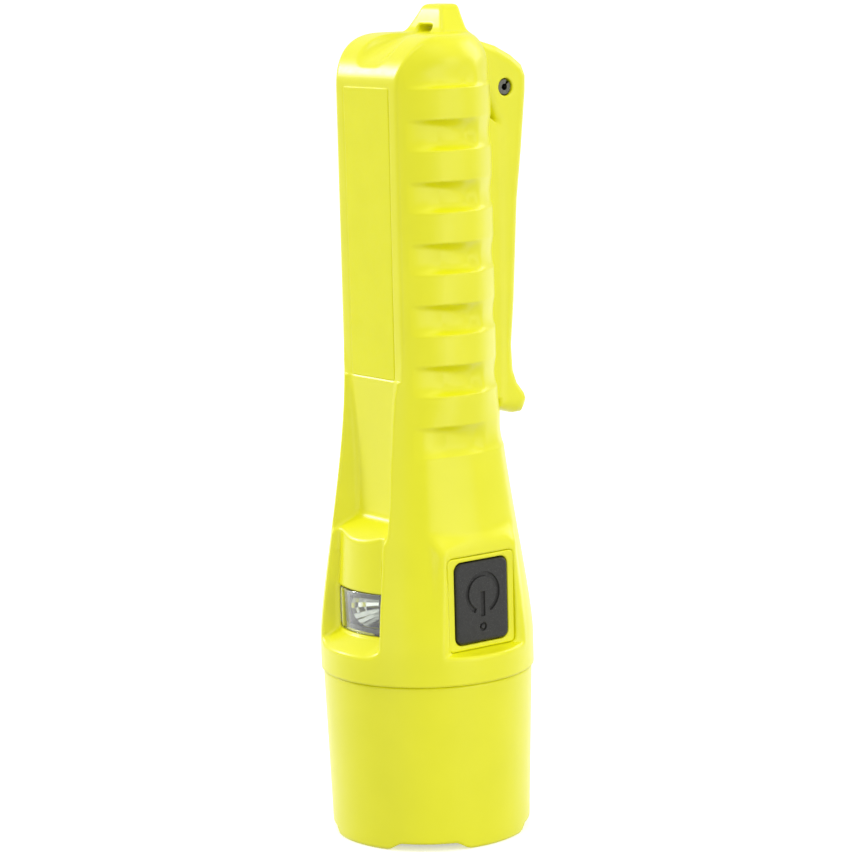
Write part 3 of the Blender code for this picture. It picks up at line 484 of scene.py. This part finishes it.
def clip_field(x, y, z):
    """A lever with a solid back, and a thinner flange on each side that follows the grip's curve."""
    side = polygon(y, z, clip_side()) - 0.15
    shape = smooth_max(side, np.abs(x) - CLIP_HIGH[0], 3.2)
    flange = smooth_max(polygon(y, z, CLIP_FLANGE), np.abs(x) - CLIP_HIGH[0] + 0.5, 0.6)
    shape = smooth_min(shape, flange, 0.4)
    clear = radius_at(z) + CLIP_CLEARANCE - np.hypot(x, y)
    shape = smooth_max(shape, np.where(z < CLIP_CLEARANCE_TOP_Z, clear, -9.0), 0.4)
    head = np.maximum(polygon(y, z, CLIP_HEAD_HOLLOW), np.abs(x) - 3.4)
    shape = smooth_max(shape, -head, 0.5)
    shape = smooth_max(shape, CLIP_LOW[1] - y, 0.4)
    shape = smooth_max(shape, y - CLIP_HIGH[1], 0.4)
    return smooth_max(shape, PIN_R + 0.12 - np.hypot(y - PIN_Y, z - PIN_Z), 0.3)


# ---------------------------------------------------------------- switch

def frame_field(x, y, z):
    """The flat ring around the button."""
    middle_z = 0.5 * (FRAME_LOW[2] + FRAME_HIGH[2])
    half_z = 0.5 * (FRAME_HIGH[2] - FRAME_LOW[2])
    button_half_z = 0.5 * (BUTTON_HIGH[2] - BUTTON_LOW[2])
    outer = rounded_box(y, z - middle_z, FRAME_HIGH[1], half_z, 1.2)
    button_middle = 0.5 * (BUTTON_LOW[2] + BUTTON_HIGH[2])
    opening = rounded_box(y, z - button_middle, BUTTON_HIGH[1] + 0.25, button_half_z + 0.25, 2.0)
    ring = smooth_max(outer, -opening, 0.3)
    middle_x = 0.5 * (FRAME_LOW[0] + FRAME_HIGH[0])
    return smooth_max(ring, np.abs(x - middle_x) - 0.5 * (FRAME_HIGH[0] - FRAME_LOW[0]), 0.3)


SYMBOL_Z = 58.3
SYMBOL_R = 4.35
SYMBOL_BAR_Z = 55.8
SYMBOL_DOT_Z = 50.6
ENGRAVING_DEPTH = 0.5


def power_symbol(y, z):
    """A ring, open at the foot, with a bar through the gap, and a small dot below."""
    rho = np.hypot(y, z - SYMBOL_Z)
    turn = np.arctan2(np.abs(y), SYMBOL_Z - z)
    ring = np.maximum(np.abs(rho - SYMBOL_R) - 0.5, (radians(27) - turn) * SYMBOL_R)
    bar = np.maximum(np.abs(y) - 0.62, np.abs(z - SYMBOL_BAR_Z) - 2.8)
    dot = np.abs(np.hypot(y, z - SYMBOL_DOT_Z) - 0.75) - 0.22
    return np.minimum(np.minimum(ring, bar), dot)


def button_field(x, y, z):
    """The key of the switch, with the symbol cut into its face."""
    middle_z = 0.5 * (BUTTON_LOW[2] + BUTTON_HIGH[2])
    key = rounded_box(y, z - middle_z, BUTTON_HIGH[1], 0.5 * (BUTTON_HIGH[2] - BUTTON_LOW[2]), 1.7)
    middle_x = 0.5 * (BUTTON_LOW[0] + BUTTON_HIGH[0])
    shape = smooth_max(key, np.abs(x - middle_x) - 0.5 * (BUTTON_HIGH[0] - BUTTON_LOW[0]), 0.9)
    engraving = np.maximum(power_symbol(y, z), BUTTON_HIGH[0] - ENGRAVING_DEPTH - x)
    return smooth_max(shape, -engraving, 0.16)


# ---------------------------------------------------------------- objects

def add_piece(name, points, faces, material, body, replaced):
    """A mesh object from points in millimetres about the beam axis."""
    mesh = bpy.data.meshes.new(name)
    mesh.from_pydata((np.asarray(points) * MM + np.array(AXIS)).tolist(), [], [list(face) for face in faces])
    mesh.validate()
    mesh.shade_smooth()
    mesh.materials.append(material)
    piece = bpy.data.objects.new(name, mesh)
    bpy.context.scene.collection.objects.link(piece)
    builder = bmesh.new()
    builder.from_mesh(mesh)
    bmesh.ops.recalc_face_normals(builder, faces=builder.faces)
    builder.to_mesh(mesh)
    builder.free()
    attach(piece, body)
    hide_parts(*replaced)
    return piece


def build_body(material):
    """The one-piece body, meshed over a box that takes in the neck and the lanyard loop."""
    low = np.array([-25.2, -25.2, 18.0])
    high = np.array([25.2, 27.0, 190.0])
    pitch = BODY_PITCH
    points, quads = skin_of(body_field, low, high, pitch)
    add_piece("moulded_body", points, quads, material, "torch_body", ["body_shell"])


BOX_MARGIN = 0.8


def build_moulded(name, field, node, pitch, material, body):
    """A field meshed inside the box of the CAD node that it stands for."""
    low, high = extent(node)
    points, quads = skin_of(field, low - BOX_MARGIN, high + BOX_MARGIN, pitch)
    add_piece(name, points, quads, material, body, [node])


# ---------------------------------------------------------------- optics, pin and window

def turned(profile, segments):
    """Points and faces of a solid of revolution about the beam axis, from a closed (r, z) profile."""
    points, rings, faces = [], [], []
    for r, z in profile:
        count = 1 if r < 1e-6 else segments
        rings.append(list(range(len(points), len(points) + count)))
        for step in range(count):
            angle = 2.0 * pi * step / segments
            points.append((r * cos(angle), r * sin(angle), z))
    for low, high in zip(rings, rings[1:] + rings[:1]):
        if len(low) == 1 and len(high) == 1:
            continue
        for step in range(segments):
            after = (step + 1) % segments
            if len(low) == 1:
                faces.append((low[0], high[after], high[step]))
            elif len(high) == 1:
                faces.append((low[step], low[after], high[0]))
            else:
                faces.append((low[step], low[after], high[after], high[step]))
    return points, faces


def sharpen(piece, degrees_apart):
    """Marks the edges between faces that turn by more than this as sharp."""
    piece.data.set_sharp_from_angle(angle=radians(degrees_apart))


def build_main_lens(material):
    """The main lens: a disc with eased edges."""
    low, high = extent("main_lens")
    r, base, top = high[0], low[2], high[2]
    profile = [(0.0, base), (r - 2.4, base), (r - 0.3, base + 0.05), (r, base + 0.35), (r, top - 0.35),
               (r - 0.3, top), (0.0, top)]
    points, faces = turned(profile, 128)
    piece = add_piece("front_lens", points, faces, material, "front_shroud", ["main_lens"])
    sharpen(piece, 30)


def build_main_reflector(material):
    """The main reflector: a smooth paraboloid with a wall, a rim flange and a collar round the emitter."""
    low, high = extent("main_reflector")
    mouth_r, apex_z = 17.6, 30.5
    focal = mouth_r**2 / (apex_z - low[2])
    heights = np.linspace(low[2], 29.2, 40)
    inner = [(sqrt(focal * (apex_z - z)), z) for z in heights]
    outer = [(sqrt(focal * (apex_z - z)) + 0.9, z) for z in heights[4:-2]][::-1]
    collar = [(inner[-1][0], high[2]), (7.0, high[2]), (7.0, heights[-3])]
    flange = [(outer[-1][0], 9.9), (high[0], 9.9), (high[0], low[2])]
    points, faces = turned(inner + collar + outer + flange, 128)
    piece = add_piece("beam_reflector", points, faces, material, "light_engine", ["main_reflector"])
    sharpen(piece, 30)


def window_field(x, y, z):
    """The curved downcast window, concentric with the head."""
    rho = np.hypot(x, y)
    wall = inside_wedge(x, y, WINDOW_WEDGE)
    middle = 0.5 * (WINDOW_LOW[2] + WINDOW_HIGH[2])
    half = 0.5 * (WINDOW_HIGH[2] - WINDOW_LOW[2])
    outline = smooth_max(wall, np.abs(z - middle) - half, 1.0)
    return smooth_max(outline, np.abs(rho - WINDOW_MID_R) - 0.6, 0.35)


def build_downcast_reflector(material):
    """A bright faceted bowl behind the window: flat facets in rings, a square rim and a wall behind."""
    low, high = extent("downcast_reflector")
    middle_z = 0.5 * (low[2] + high[2])
    half_x, half_z = 6.6, 0.5 * (high[2] - low[2]) - 0.6
    sides = 20
    rings = []
    square = []
    for step in range(sides):
        angle = 2.0 * pi * (step + 0.5) / sides
        reach = 1.0 / max(abs(cos(angle)), abs(sin(angle)))
        square.append((half_x * reach * cos(angle), half_z * reach * sin(angle)))
    depths = [(0.0, 0.94), (1.4, 0.86), (2.9, 0.74), (4.4, 0.58), (5.8, 0.40), (7.2, 0.24)]
    rings.append([(u, low[1], middle_z + v) for u, v in square])
    for depth, share in depths:
        rings.append(
            [
                (share * half_x * cos(2 * pi * (k + 0.5) / sides), low[1] + depth,
                 middle_z + max(share, 0.42) * half_z * sin(2 * pi * (k + 0.5) / sides))
                for k in range(sides)
            ]
        )
    rings.append([(0.34 * u, high[1], middle_z + 0.5 * v) for u, v in square])
    rings.append([(0.80 * u, high[1] - 3.2, middle_z + 0.96 * v) for u, v in square])
    rings.append([(u, low[1] + 1.0, middle_z + v) for u, v in square])
    points = [point for ring in rings for point in ring]
    faces = []
    for ring in range(len(rings)):
        following = (ring + 1) % len(rings)
        for k in range(sides):
            after = (k + 1) % sides
            faces.append((ring * sides + k, ring * sides + after,
                          following * sides + after, following * sides + k))
    piece = add_piece("downcast_bowl", points, faces, material, "light_engine", ["downcast_reflector"])
    sharpen(piece, 6)


def build_pin(material):
    """A rolled hinge pin: a slit tube with eased ends."""
    count = 48
    bore_r = 0.75
    slit_turn = 0.9
    slit = radians(14)
    half = PIN_HIGH[0]
    rings = []
    for x, shrink in ((-half, 0.2), (-half + 0.25, 0.0), (half - 0.25, 0.0), (half, 0.2)):
        outer = [(x, PIN_R - shrink, slit + (2 * pi - 2 * slit) * k / count) for k in range(count + 1)]
        rings.append(outer)
    bore = [
        (x, bore_r, slit + (2 * pi - 2 * slit) * k / count) for x in (-half, half) for k in range(count + 1)
    ]
    sections = rings[0] + rings[1] + rings[2] + rings[3] + bore[count + 1:] + bore[:count + 1]
    points = [
        (x, PIN_Y + r * cos(a + slit_turn), PIN_Z + r * sin(a + slit_turn)) for x, r, a in sections
    ]
    across = count + 1
    faces = []
    for ring in range(6):
        following = (ring + 1) % 6
        for k in range(count):
            faces.append((ring * across + k, ring * across + k + 1,
                          following * across + k + 1, following * across + k))
    faces.append([ring * across for ring in range(6)])
    faces.append([ring * across + count for ring in range(6)][::-1])
    piece = add_piece("roll_pin", points, faces, material, "torch_body", ["clip_pin"])
    sharpen(piece, 30)


# ---------------------------------------------------------------- materials

class Finish:
    """A Principled material with node patterns in object space, so that they ride with the piece."""

    def __init__(self, name, colour, roughness, metallic=0.0, **values):
        self.material = bpy.data.materials.new(name)
        self.material.use_nodes = True
        self.nodes = self.material.node_tree.nodes
        self.links = self.material.node_tree.links
        self.shader = self.nodes["Principled BSDF"]
        self.place = self.nodes.new("ShaderNodeTexCoord").outputs["Object"]
        self.set("Base Color", (*colour, 1.0))
        self.set("Roughness", roughness)
        self.set("Metallic", metallic)
        for socket, value in values.items():
            self.set(socket.replace("_", " "), value)

    def set(self, socket, value):
        self.shader.inputs[socket].default_value = value

    def noise(self, scale, detail=2.0, stretch=(1.0, 1.0, 1.0)):
        """Noise with this many features to the metre."""
        mapping = self.nodes.new("ShaderNodeMapping")
        mapping.inputs["Scale"].default_value = stretch
        texture = self.nodes.new("ShaderNodeTexNoise")
        texture.inputs["Scale"].default_value = scale
        texture.inputs["Detail"].default_value = detail
        self.links.new(self.place, mapping.inputs["Vector"])
        self.links.new(mapping.outputs["Vector"], texture.inputs["Vector"])
        return texture.outputs["Fac"]

    def spread(self, value, low, high):
        """A pattern's middle range mapped onto low to high."""
        mapped = self.nodes.new("ShaderNodeMapRange")
        mapped.inputs["From Min"].default_value = 0.3
        mapped.inputs["From Max"].default_value = 0.7
        mapped.inputs["To Min"].default_value = low
        mapped.inputs["To Max"].default_value = high
        self.links.new(value, mapped.inputs["Value"])
        return mapped.outputs["Result"]

    def colours(self, value, stops):
        """Base colour from a pattern through a ramp of (position, colour) stops."""
        ramp_node = self.nodes.new("ShaderNodeValToRGB")
        elements = ramp_node.color_ramp.elements
        while len(elements) < len(stops):
            elements.new(0.5)
        for element, (position, colour) in zip(elements, stops):
            element.position = position
            element.color = (*colour, 1.0)
        self.links.new(value, ramp_node.inputs["Fac"])
        self.links.new(ramp_node.outputs["Color"], self.shader.inputs["Base Color"])

    def roughness(self, value, low, high):
        self.links.new(self.spread(value, low, high), self.shader.inputs["Roughness"])

    def bump(self, value, height_mm, strength=1.0):
        node = self.nodes.new("ShaderNodeBump")
        node.inputs["Strength"].default_value = strength
        node.inputs["Distance"].default_value = height_mm * MM
        self.links.new(value, node.inputs["Height"])
        self.links.new(node.outputs["Normal"], self.shader.inputs["Normal"])


def yellow_finish():
    """Fluorescent yellow moulding, glossy under a very fine grain."""
    finish = Finish("fluorescent_yellow", (0.86, 0.85, 0.006), 0.28, Specular_IOR_Level=0.55)
    finish.colours(finish.noise(90.0, 3.0), [(0.30, (0.845, 0.835, 0.004)), (0.70, (0.875, 0.862, 0.007))])
    finish.roughness(finish.noise(700.0, 4.0), 0.29, 0.33)
    finish.bump(finish.noise(4200.0, 2.0), 0.012, 0.45)
    return finish.material


def label_finish():
    """The label's satin film, a shade greener than the moulding."""
    finish = Finish("label_film", (0.86, 0.85, 0.01), 0.40, Specular_IOR_Level=0.40)
    finish.colours(finish.noise(140.0, 3.0), [(0.3, (0.850, 0.842, 0.008)), (0.7, (0.875, 0.868, 0.012))])
    finish.roughness(finish.noise(900.0), 0.34, 0.5)
    finish.bump(finish.noise(3000.0, 3.0), 0.03, 0.6)
    return finish.material


def rubber_finish():
    """Charcoal rubber with pale dust specks."""
    finish = Finish("charcoal_rubber", (0.02, 0.02, 0.02), 0.5, Specular_IOR_Level=0.32)
    specks = finish.noise(5200.0, 2.0)
    stops = [(0.0, (0.016, 0.016, 0.015)), (0.62, (0.024, 0.024, 0.022)), (0.74, (0.09, 0.09, 0.085))]
    finish.colours(specks, stops)
    finish.roughness(finish.noise(1500.0), 0.38, 0.6)
    finish.bump(finish.noise(3400.0, 3.0), 0.03, 0.6)
    return finish.material


def black_plastic_finish():
    """Near-black moulding for the parts inside."""
    finish = Finish("black_moulding", (0.03, 0.03, 0.032), 0.42)
    finish.colours(finish.noise(250.0), [(0.3, (0.022, 0.022, 0.024)), (0.7, (0.038, 0.038, 0.04))])
    finish.roughness(finish.noise(900.0), 0.34, 0.52)
    finish.bump(finish.noise(2600.0), 0.02, 0.5)
    return finish.material


def clear_finish():
    """Clear polycarbonate, with the faintest waviness of a moulding."""
    finish = Finish("clear_lens", (0.96, 0.99, 0.94), 0.02, Transmission_Weight=1.0, IOR=1.56)
    finish.roughness(finish.noise(300.0), 0.01, 0.05)
    finish.bump(finish.noise(140.0, 1.0), 0.01, 0.3)
    return finish.material


def mirror_finish():
    """Vapour-deposited aluminium for both reflectors, its colour kept darker than bright aluminium as
    painted shade for the dark inside of the downcast bowl.
    """
    finish = Finish("vapour_mirror", (0.66, 0.67, 0.66), 0.08, 1.0)
    finish.colours(finish.noise(300.0), [(0.3, (0.62, 0.63, 0.61)), (0.7, (0.70, 0.71, 0.69))])
    finish.roughness(finish.noise(500.0), 0.04, 0.12)
    finish.bump(finish.noise(900.0, 1.0), 0.01, 0.3)
    return finish.material


def metal_finish(name, dark, light, roughness, stretch=(1.0, 1.0, 1.0)):
    """Drawn or machined metal, with fine lines along one axis."""
    finish = Finish(name, light, roughness, 1.0)
    lines = finish.noise(1800.0, 3.0, stretch)
    finish.colours(lines, [(0.3, dark), (0.7, light)])
    finish.roughness(lines, roughness - 0.08, roughness + 0.14)
    finish.bump(lines, 0.01, 0.5)
    return finish.material


def board_finish():
    """Green solder mask with paler tracks."""
    finish = Finish("solder_mask", (0.03, 0.16, 0.07), 0.35)
    tracks = finish.nodes.new("ShaderNodeTexVoronoi")
    tracks.feature = "DISTANCE_TO_EDGE"
    tracks.distance = "EUCLIDEAN"
    tracks.inputs["Scale"].default_value = 420.0
    finish.links.new(finish.place, tracks.inputs["Vector"])
    finish.colours(tracks.outputs["Distance"], [(0.0, (0.07, 0.30, 0.13)), (0.10, (0.02, 0.12, 0.05))])
    finish.roughness(finish.noise(800.0), 0.28, 0.42)
    finish.bump(tracks.outputs["Distance"], 0.03, 0.3)
    return finish.material


def lamp_finish():
    """The emitter: yellow phosphor under clear silicone."""
    finish = Finish("phosphor", (0.85, 0.70, 0.14), 0.2, Coat_Weight=0.8)
    finish.colours(finish.noise(2200.0), [(0.3, (0.80, 0.62, 0.10)), (0.7, (0.90, 0.78, 0.22))])
    finish.roughness(finish.noise(900.0), 0.12, 0.28)
    return finish.material


def jacket_finish():
    """A printed cell jacket: a dark body with a copper band towards one end."""
    finish = Finish("cell_jacket", (0.05, 0.05, 0.06), 0.3)
    split = finish.nodes.new("ShaderNodeSeparateXYZ")
    finish.links.new(finish.place, split.inputs["Vector"])
    low, high = extent("cell_1")
    height = finish.nodes.new("ShaderNodeMapRange")
    height.inputs["From Min"].default_value = low[2] * MM
    height.inputs["From Max"].default_value = high[2] * MM
    finish.links.new(split.outputs["Z"], height.inputs["Value"])
    dark, copper = (0.05, 0.05, 0.06), (0.45, 0.22, 0.08)
    bands = [(0.0, dark), (0.70, dark), (0.71, copper), (1.0, (0.5, 0.26, 0.1))]
    finish.colours(height.outputs["Result"], bands)
    finish.roughness(finish.noise(600.0), 0.22, 0.38)
    return finish.material


def finish_cad_nodes(finishes):
    """Gives every CAD node that still shows the finish of its material slot."""
    slots = {part["node"]: part["material_slot"] for part in frame["record"]["subparts"]}
    for name, node in frame["nodes"].items():
        if not node.hide_render:
            node.data.materials.clear()
            node.data.materials.append(finishes[slots[name]])


# ---------------------------------------------------------------- camera, floor and lights

# The photograph's view: distances and the lens in millimetres
VIEW_TURN = radians(53.0)
VIEW_RISE = radians(9.423)
VIEW_ROLL = radians(-1.4776)
VIEW_DISTANCE = 716.3
VIEW_LENS = 132.77
VIEW_MIDDLE_Z = 93.787
VIEW_ASIDE = 0.998

# Strength of the surroundings at the bottom and at the top
WORLD_BELOW = 0.40
WORLD_ABOVE = 0.85

# Name, turn and rise in degrees, distance and side in metres, power in watts
SOFTBOXES = [
    ("right_low", 62, 12, 1.2, 0.6, 1.7),
    ("right_high", 50, 50, 1.2, 0.6, 0.8),
    ("left_high", -60, 62, 1.2, 0.16, 0.7),
    ("overhead", -15, 76, 1.2, 0.28, 1.1),
    ("back_left", -113, 24, 1.2, 0.22, 4.6),
    ("back_right", 120, 25, 1.2, 0.6, 3.0),
    ("low_left", -38, -9, 0.42, 0.22, 0.14),
    ("low_right", 38, -9, 0.42, 0.22, 0.24),
]


def build_camera():
    """The camera stands where the photograph was taken from, with a slight roll."""
    right = Vector((cos(VIEW_TURN), sin(VIEW_TURN), 0.0))
    toward = Vector((sin(VIEW_TURN) * cos(VIEW_RISE), -cos(VIEW_TURN) * cos(VIEW_RISE), sin(VIEW_RISE)))
    target = Vector((0.0, 0.0, VIEW_MIDDLE_Z)) + right * VIEW_ASIDE
    up = toward.cross(right)
    right_rolled = right * cos(VIEW_ROLL) + up * sin(VIEW_ROLL)
    up_rolled = up * cos(VIEW_ROLL) - right * sin(VIEW_ROLL)
    turn = Matrix((right_rolled, up_rolled, toward)).transposed().to_4x4()
    data = bpy.data.cameras.new("view")
    data.lens = VIEW_LENS
    data.sensor_width = 36.0
    data.clip_start = 0.01
    data.clip_end = 20.0
    camera = bpy.data.objects.new("view", data)
    camera.matrix_world = Matrix.Translation(AXIS + (target + toward * VIEW_DISTANCE) * MM) @ turn
    bpy.context.scene.collection.objects.link(camera)
    bpy.context.scene.camera = camera


def add_softbox(name, turn, rise, distance, size, power):
    """A square softbox that faces the middle of the torch. Its turn is from the camera, to the right."""
    data = bpy.data.lights.new(name, "AREA")
    data.size = size
    data.energy = power
    lamp = bpy.data.objects.new(name, data)
    middle = Vector((0.0, 0.0, VIEW_MIDDLE_Z * MM))
    heading = VIEW_TURN + radians(turn)
    level = Vector((sin(heading), -cos(heading), 0.0)) * cos(radians(rise))
    lamp.location = middle + distance * (level + Vector((0.0, 0.0, sin(radians(rise)))))
    lamp.rotation_euler = (middle - lamp.location).to_track_quat("-Z", "Y").to_euler()
    bpy.context.scene.collection.objects.link(lamp)


def build_studio():
    """A plain pale floor, a pale surrounding glow and the softboxes.

    The floor is left out of diffuse rays, so it throws no light up onto the torch.
    """
    mesh = bpy.data.meshes.new("floor")
    reach = 30.0
    corners = [(-reach, -reach, 0), (reach, -reach, 0), (reach, reach, 0), (-reach, reach, 0)]
    mesh.from_pydata(corners, [], [(0, 1, 2, 3)])
    finish = Finish("studio_floor", (0.93, 0.93, 0.93), 0.6, Emission_Strength=0.42)
    finish.set("Emission Color", (1.0, 1.0, 1.0, 1.0))
    finish.roughness(finish.noise(3.0), 0.55, 0.7)
    mesh.materials.append(finish.material)
    floor = bpy.data.objects.new("floor", mesh)
    bpy.context.scene.collection.objects.link(floor)
    floor.visible_diffuse = False
    world = bpy.data.worlds.new("studio")
    world.use_nodes = True
    background = world.node_tree.nodes["Background"]
    background.inputs["Color"].default_value = (1.0, 1.0, 1.0, 1.0)
    coordinates = world.node_tree.nodes.new("ShaderNodeTexCoord")
    split = world.node_tree.nodes.new("ShaderNodeSeparateXYZ")
    glow = world.node_tree.nodes.new("ShaderNodeMapRange")
    world.node_tree.links.new(coordinates.outputs["Generated"], split.inputs["Vector"])
    world.node_tree.links.new(split.outputs["Z"], glow.inputs["Value"])
    glow.inputs["From Min"].default_value = -0.6
    glow.inputs["From Max"].default_value = 0.4
    glow.inputs["To Min"].default_value = WORLD_BELOW
    glow.inputs["To Max"].default_value = WORLD_ABOVE
    world.node_tree.links.new(glow.outputs["Result"], background.inputs["Strength"])
    bpy.context.scene.world = world
    for softbox in SOFTBOXES:
        add_softbox(*softbox)
    bpy.context.scene.view_settings.view_transform = "Standard"


# Name, field, the CAD node it stands for, mesh pitch in millimetres, body and material slot
MOULDED = [
    ("moulded_shroud", shroud_field, "lens_shroud", 0.4, "front_shroud", "yellow_plastic"),
    ("moulded_clip", clip_field, "clip_lever", 0.3, "clip", "yellow_plastic"),
    ("moulded_frame", frame_field, "switch_frame", 0.22, "torch_body", "yellow_plastic"),
    ("label_plate", label_field, "label_panel", 0.3, "torch_body", "label_film"),
    ("rubber_button", button_field, "switch_button", 0.12, "button", "black_rubber"),
    ("curved_window", window_field, "downcast_lens", 0.2, "torch_body", "clear_polycarbonate"),
]


def build_shells(finishes):
    """The moulded body, then every other piece that is written as a field."""
    build_body(finishes["yellow_plastic"])
    for name, field, node, pitch, body, slot in MOULDED:
        build_moulded(name, field, node, pitch, finishes[slot], body)


def main():
    """Finishes first, then the studio, the pieces and the carried-over CAD nodes."""
    finishes = {
        "yellow_plastic": yellow_finish(),
        "label_film": label_finish(),
        "black_rubber": rubber_finish(),
        "black_plastic": black_plastic_finish(),
        "clear_polycarbonate": clear_finish(),
        "mirror_coating": mirror_finish(),
        "steel": metal_finish(
            "bright_steel", (0.40, 0.40, 0.41), (0.60, 0.60, 0.61), 0.28, (1.0, 6.0, 6.0)
        ),
        "brass": metal_finish("brass", (0.55, 0.38, 0.14), (0.75, 0.56, 0.24), 0.26),
        "aluminium": metal_finish(
            "turned_aluminium", (0.62, 0.62, 0.64), (0.78, 0.78, 0.80), 0.3, (1.0, 1.0, 8.0)
        ),
        "circuit_board": board_finish(),
        "led_lamp": lamp_finish(),
        "cell_jacket": jacket_finish(),
    }
    build_camera()
    build_studio()
    build_shells(finishes)
    build_main_lens(finishes["clear_polycarbonate"])
    build_main_reflector(finishes["mirror_coating"])
    build_downcast_reflector(finishes["mirror_coating"])
    build_pin(metal_finish("dull_pin_steel", (0.07, 0.07, 0.055), (0.16, 0.16, 0.14), 0.42))
    finish_cad_nodes(finishes)


main()
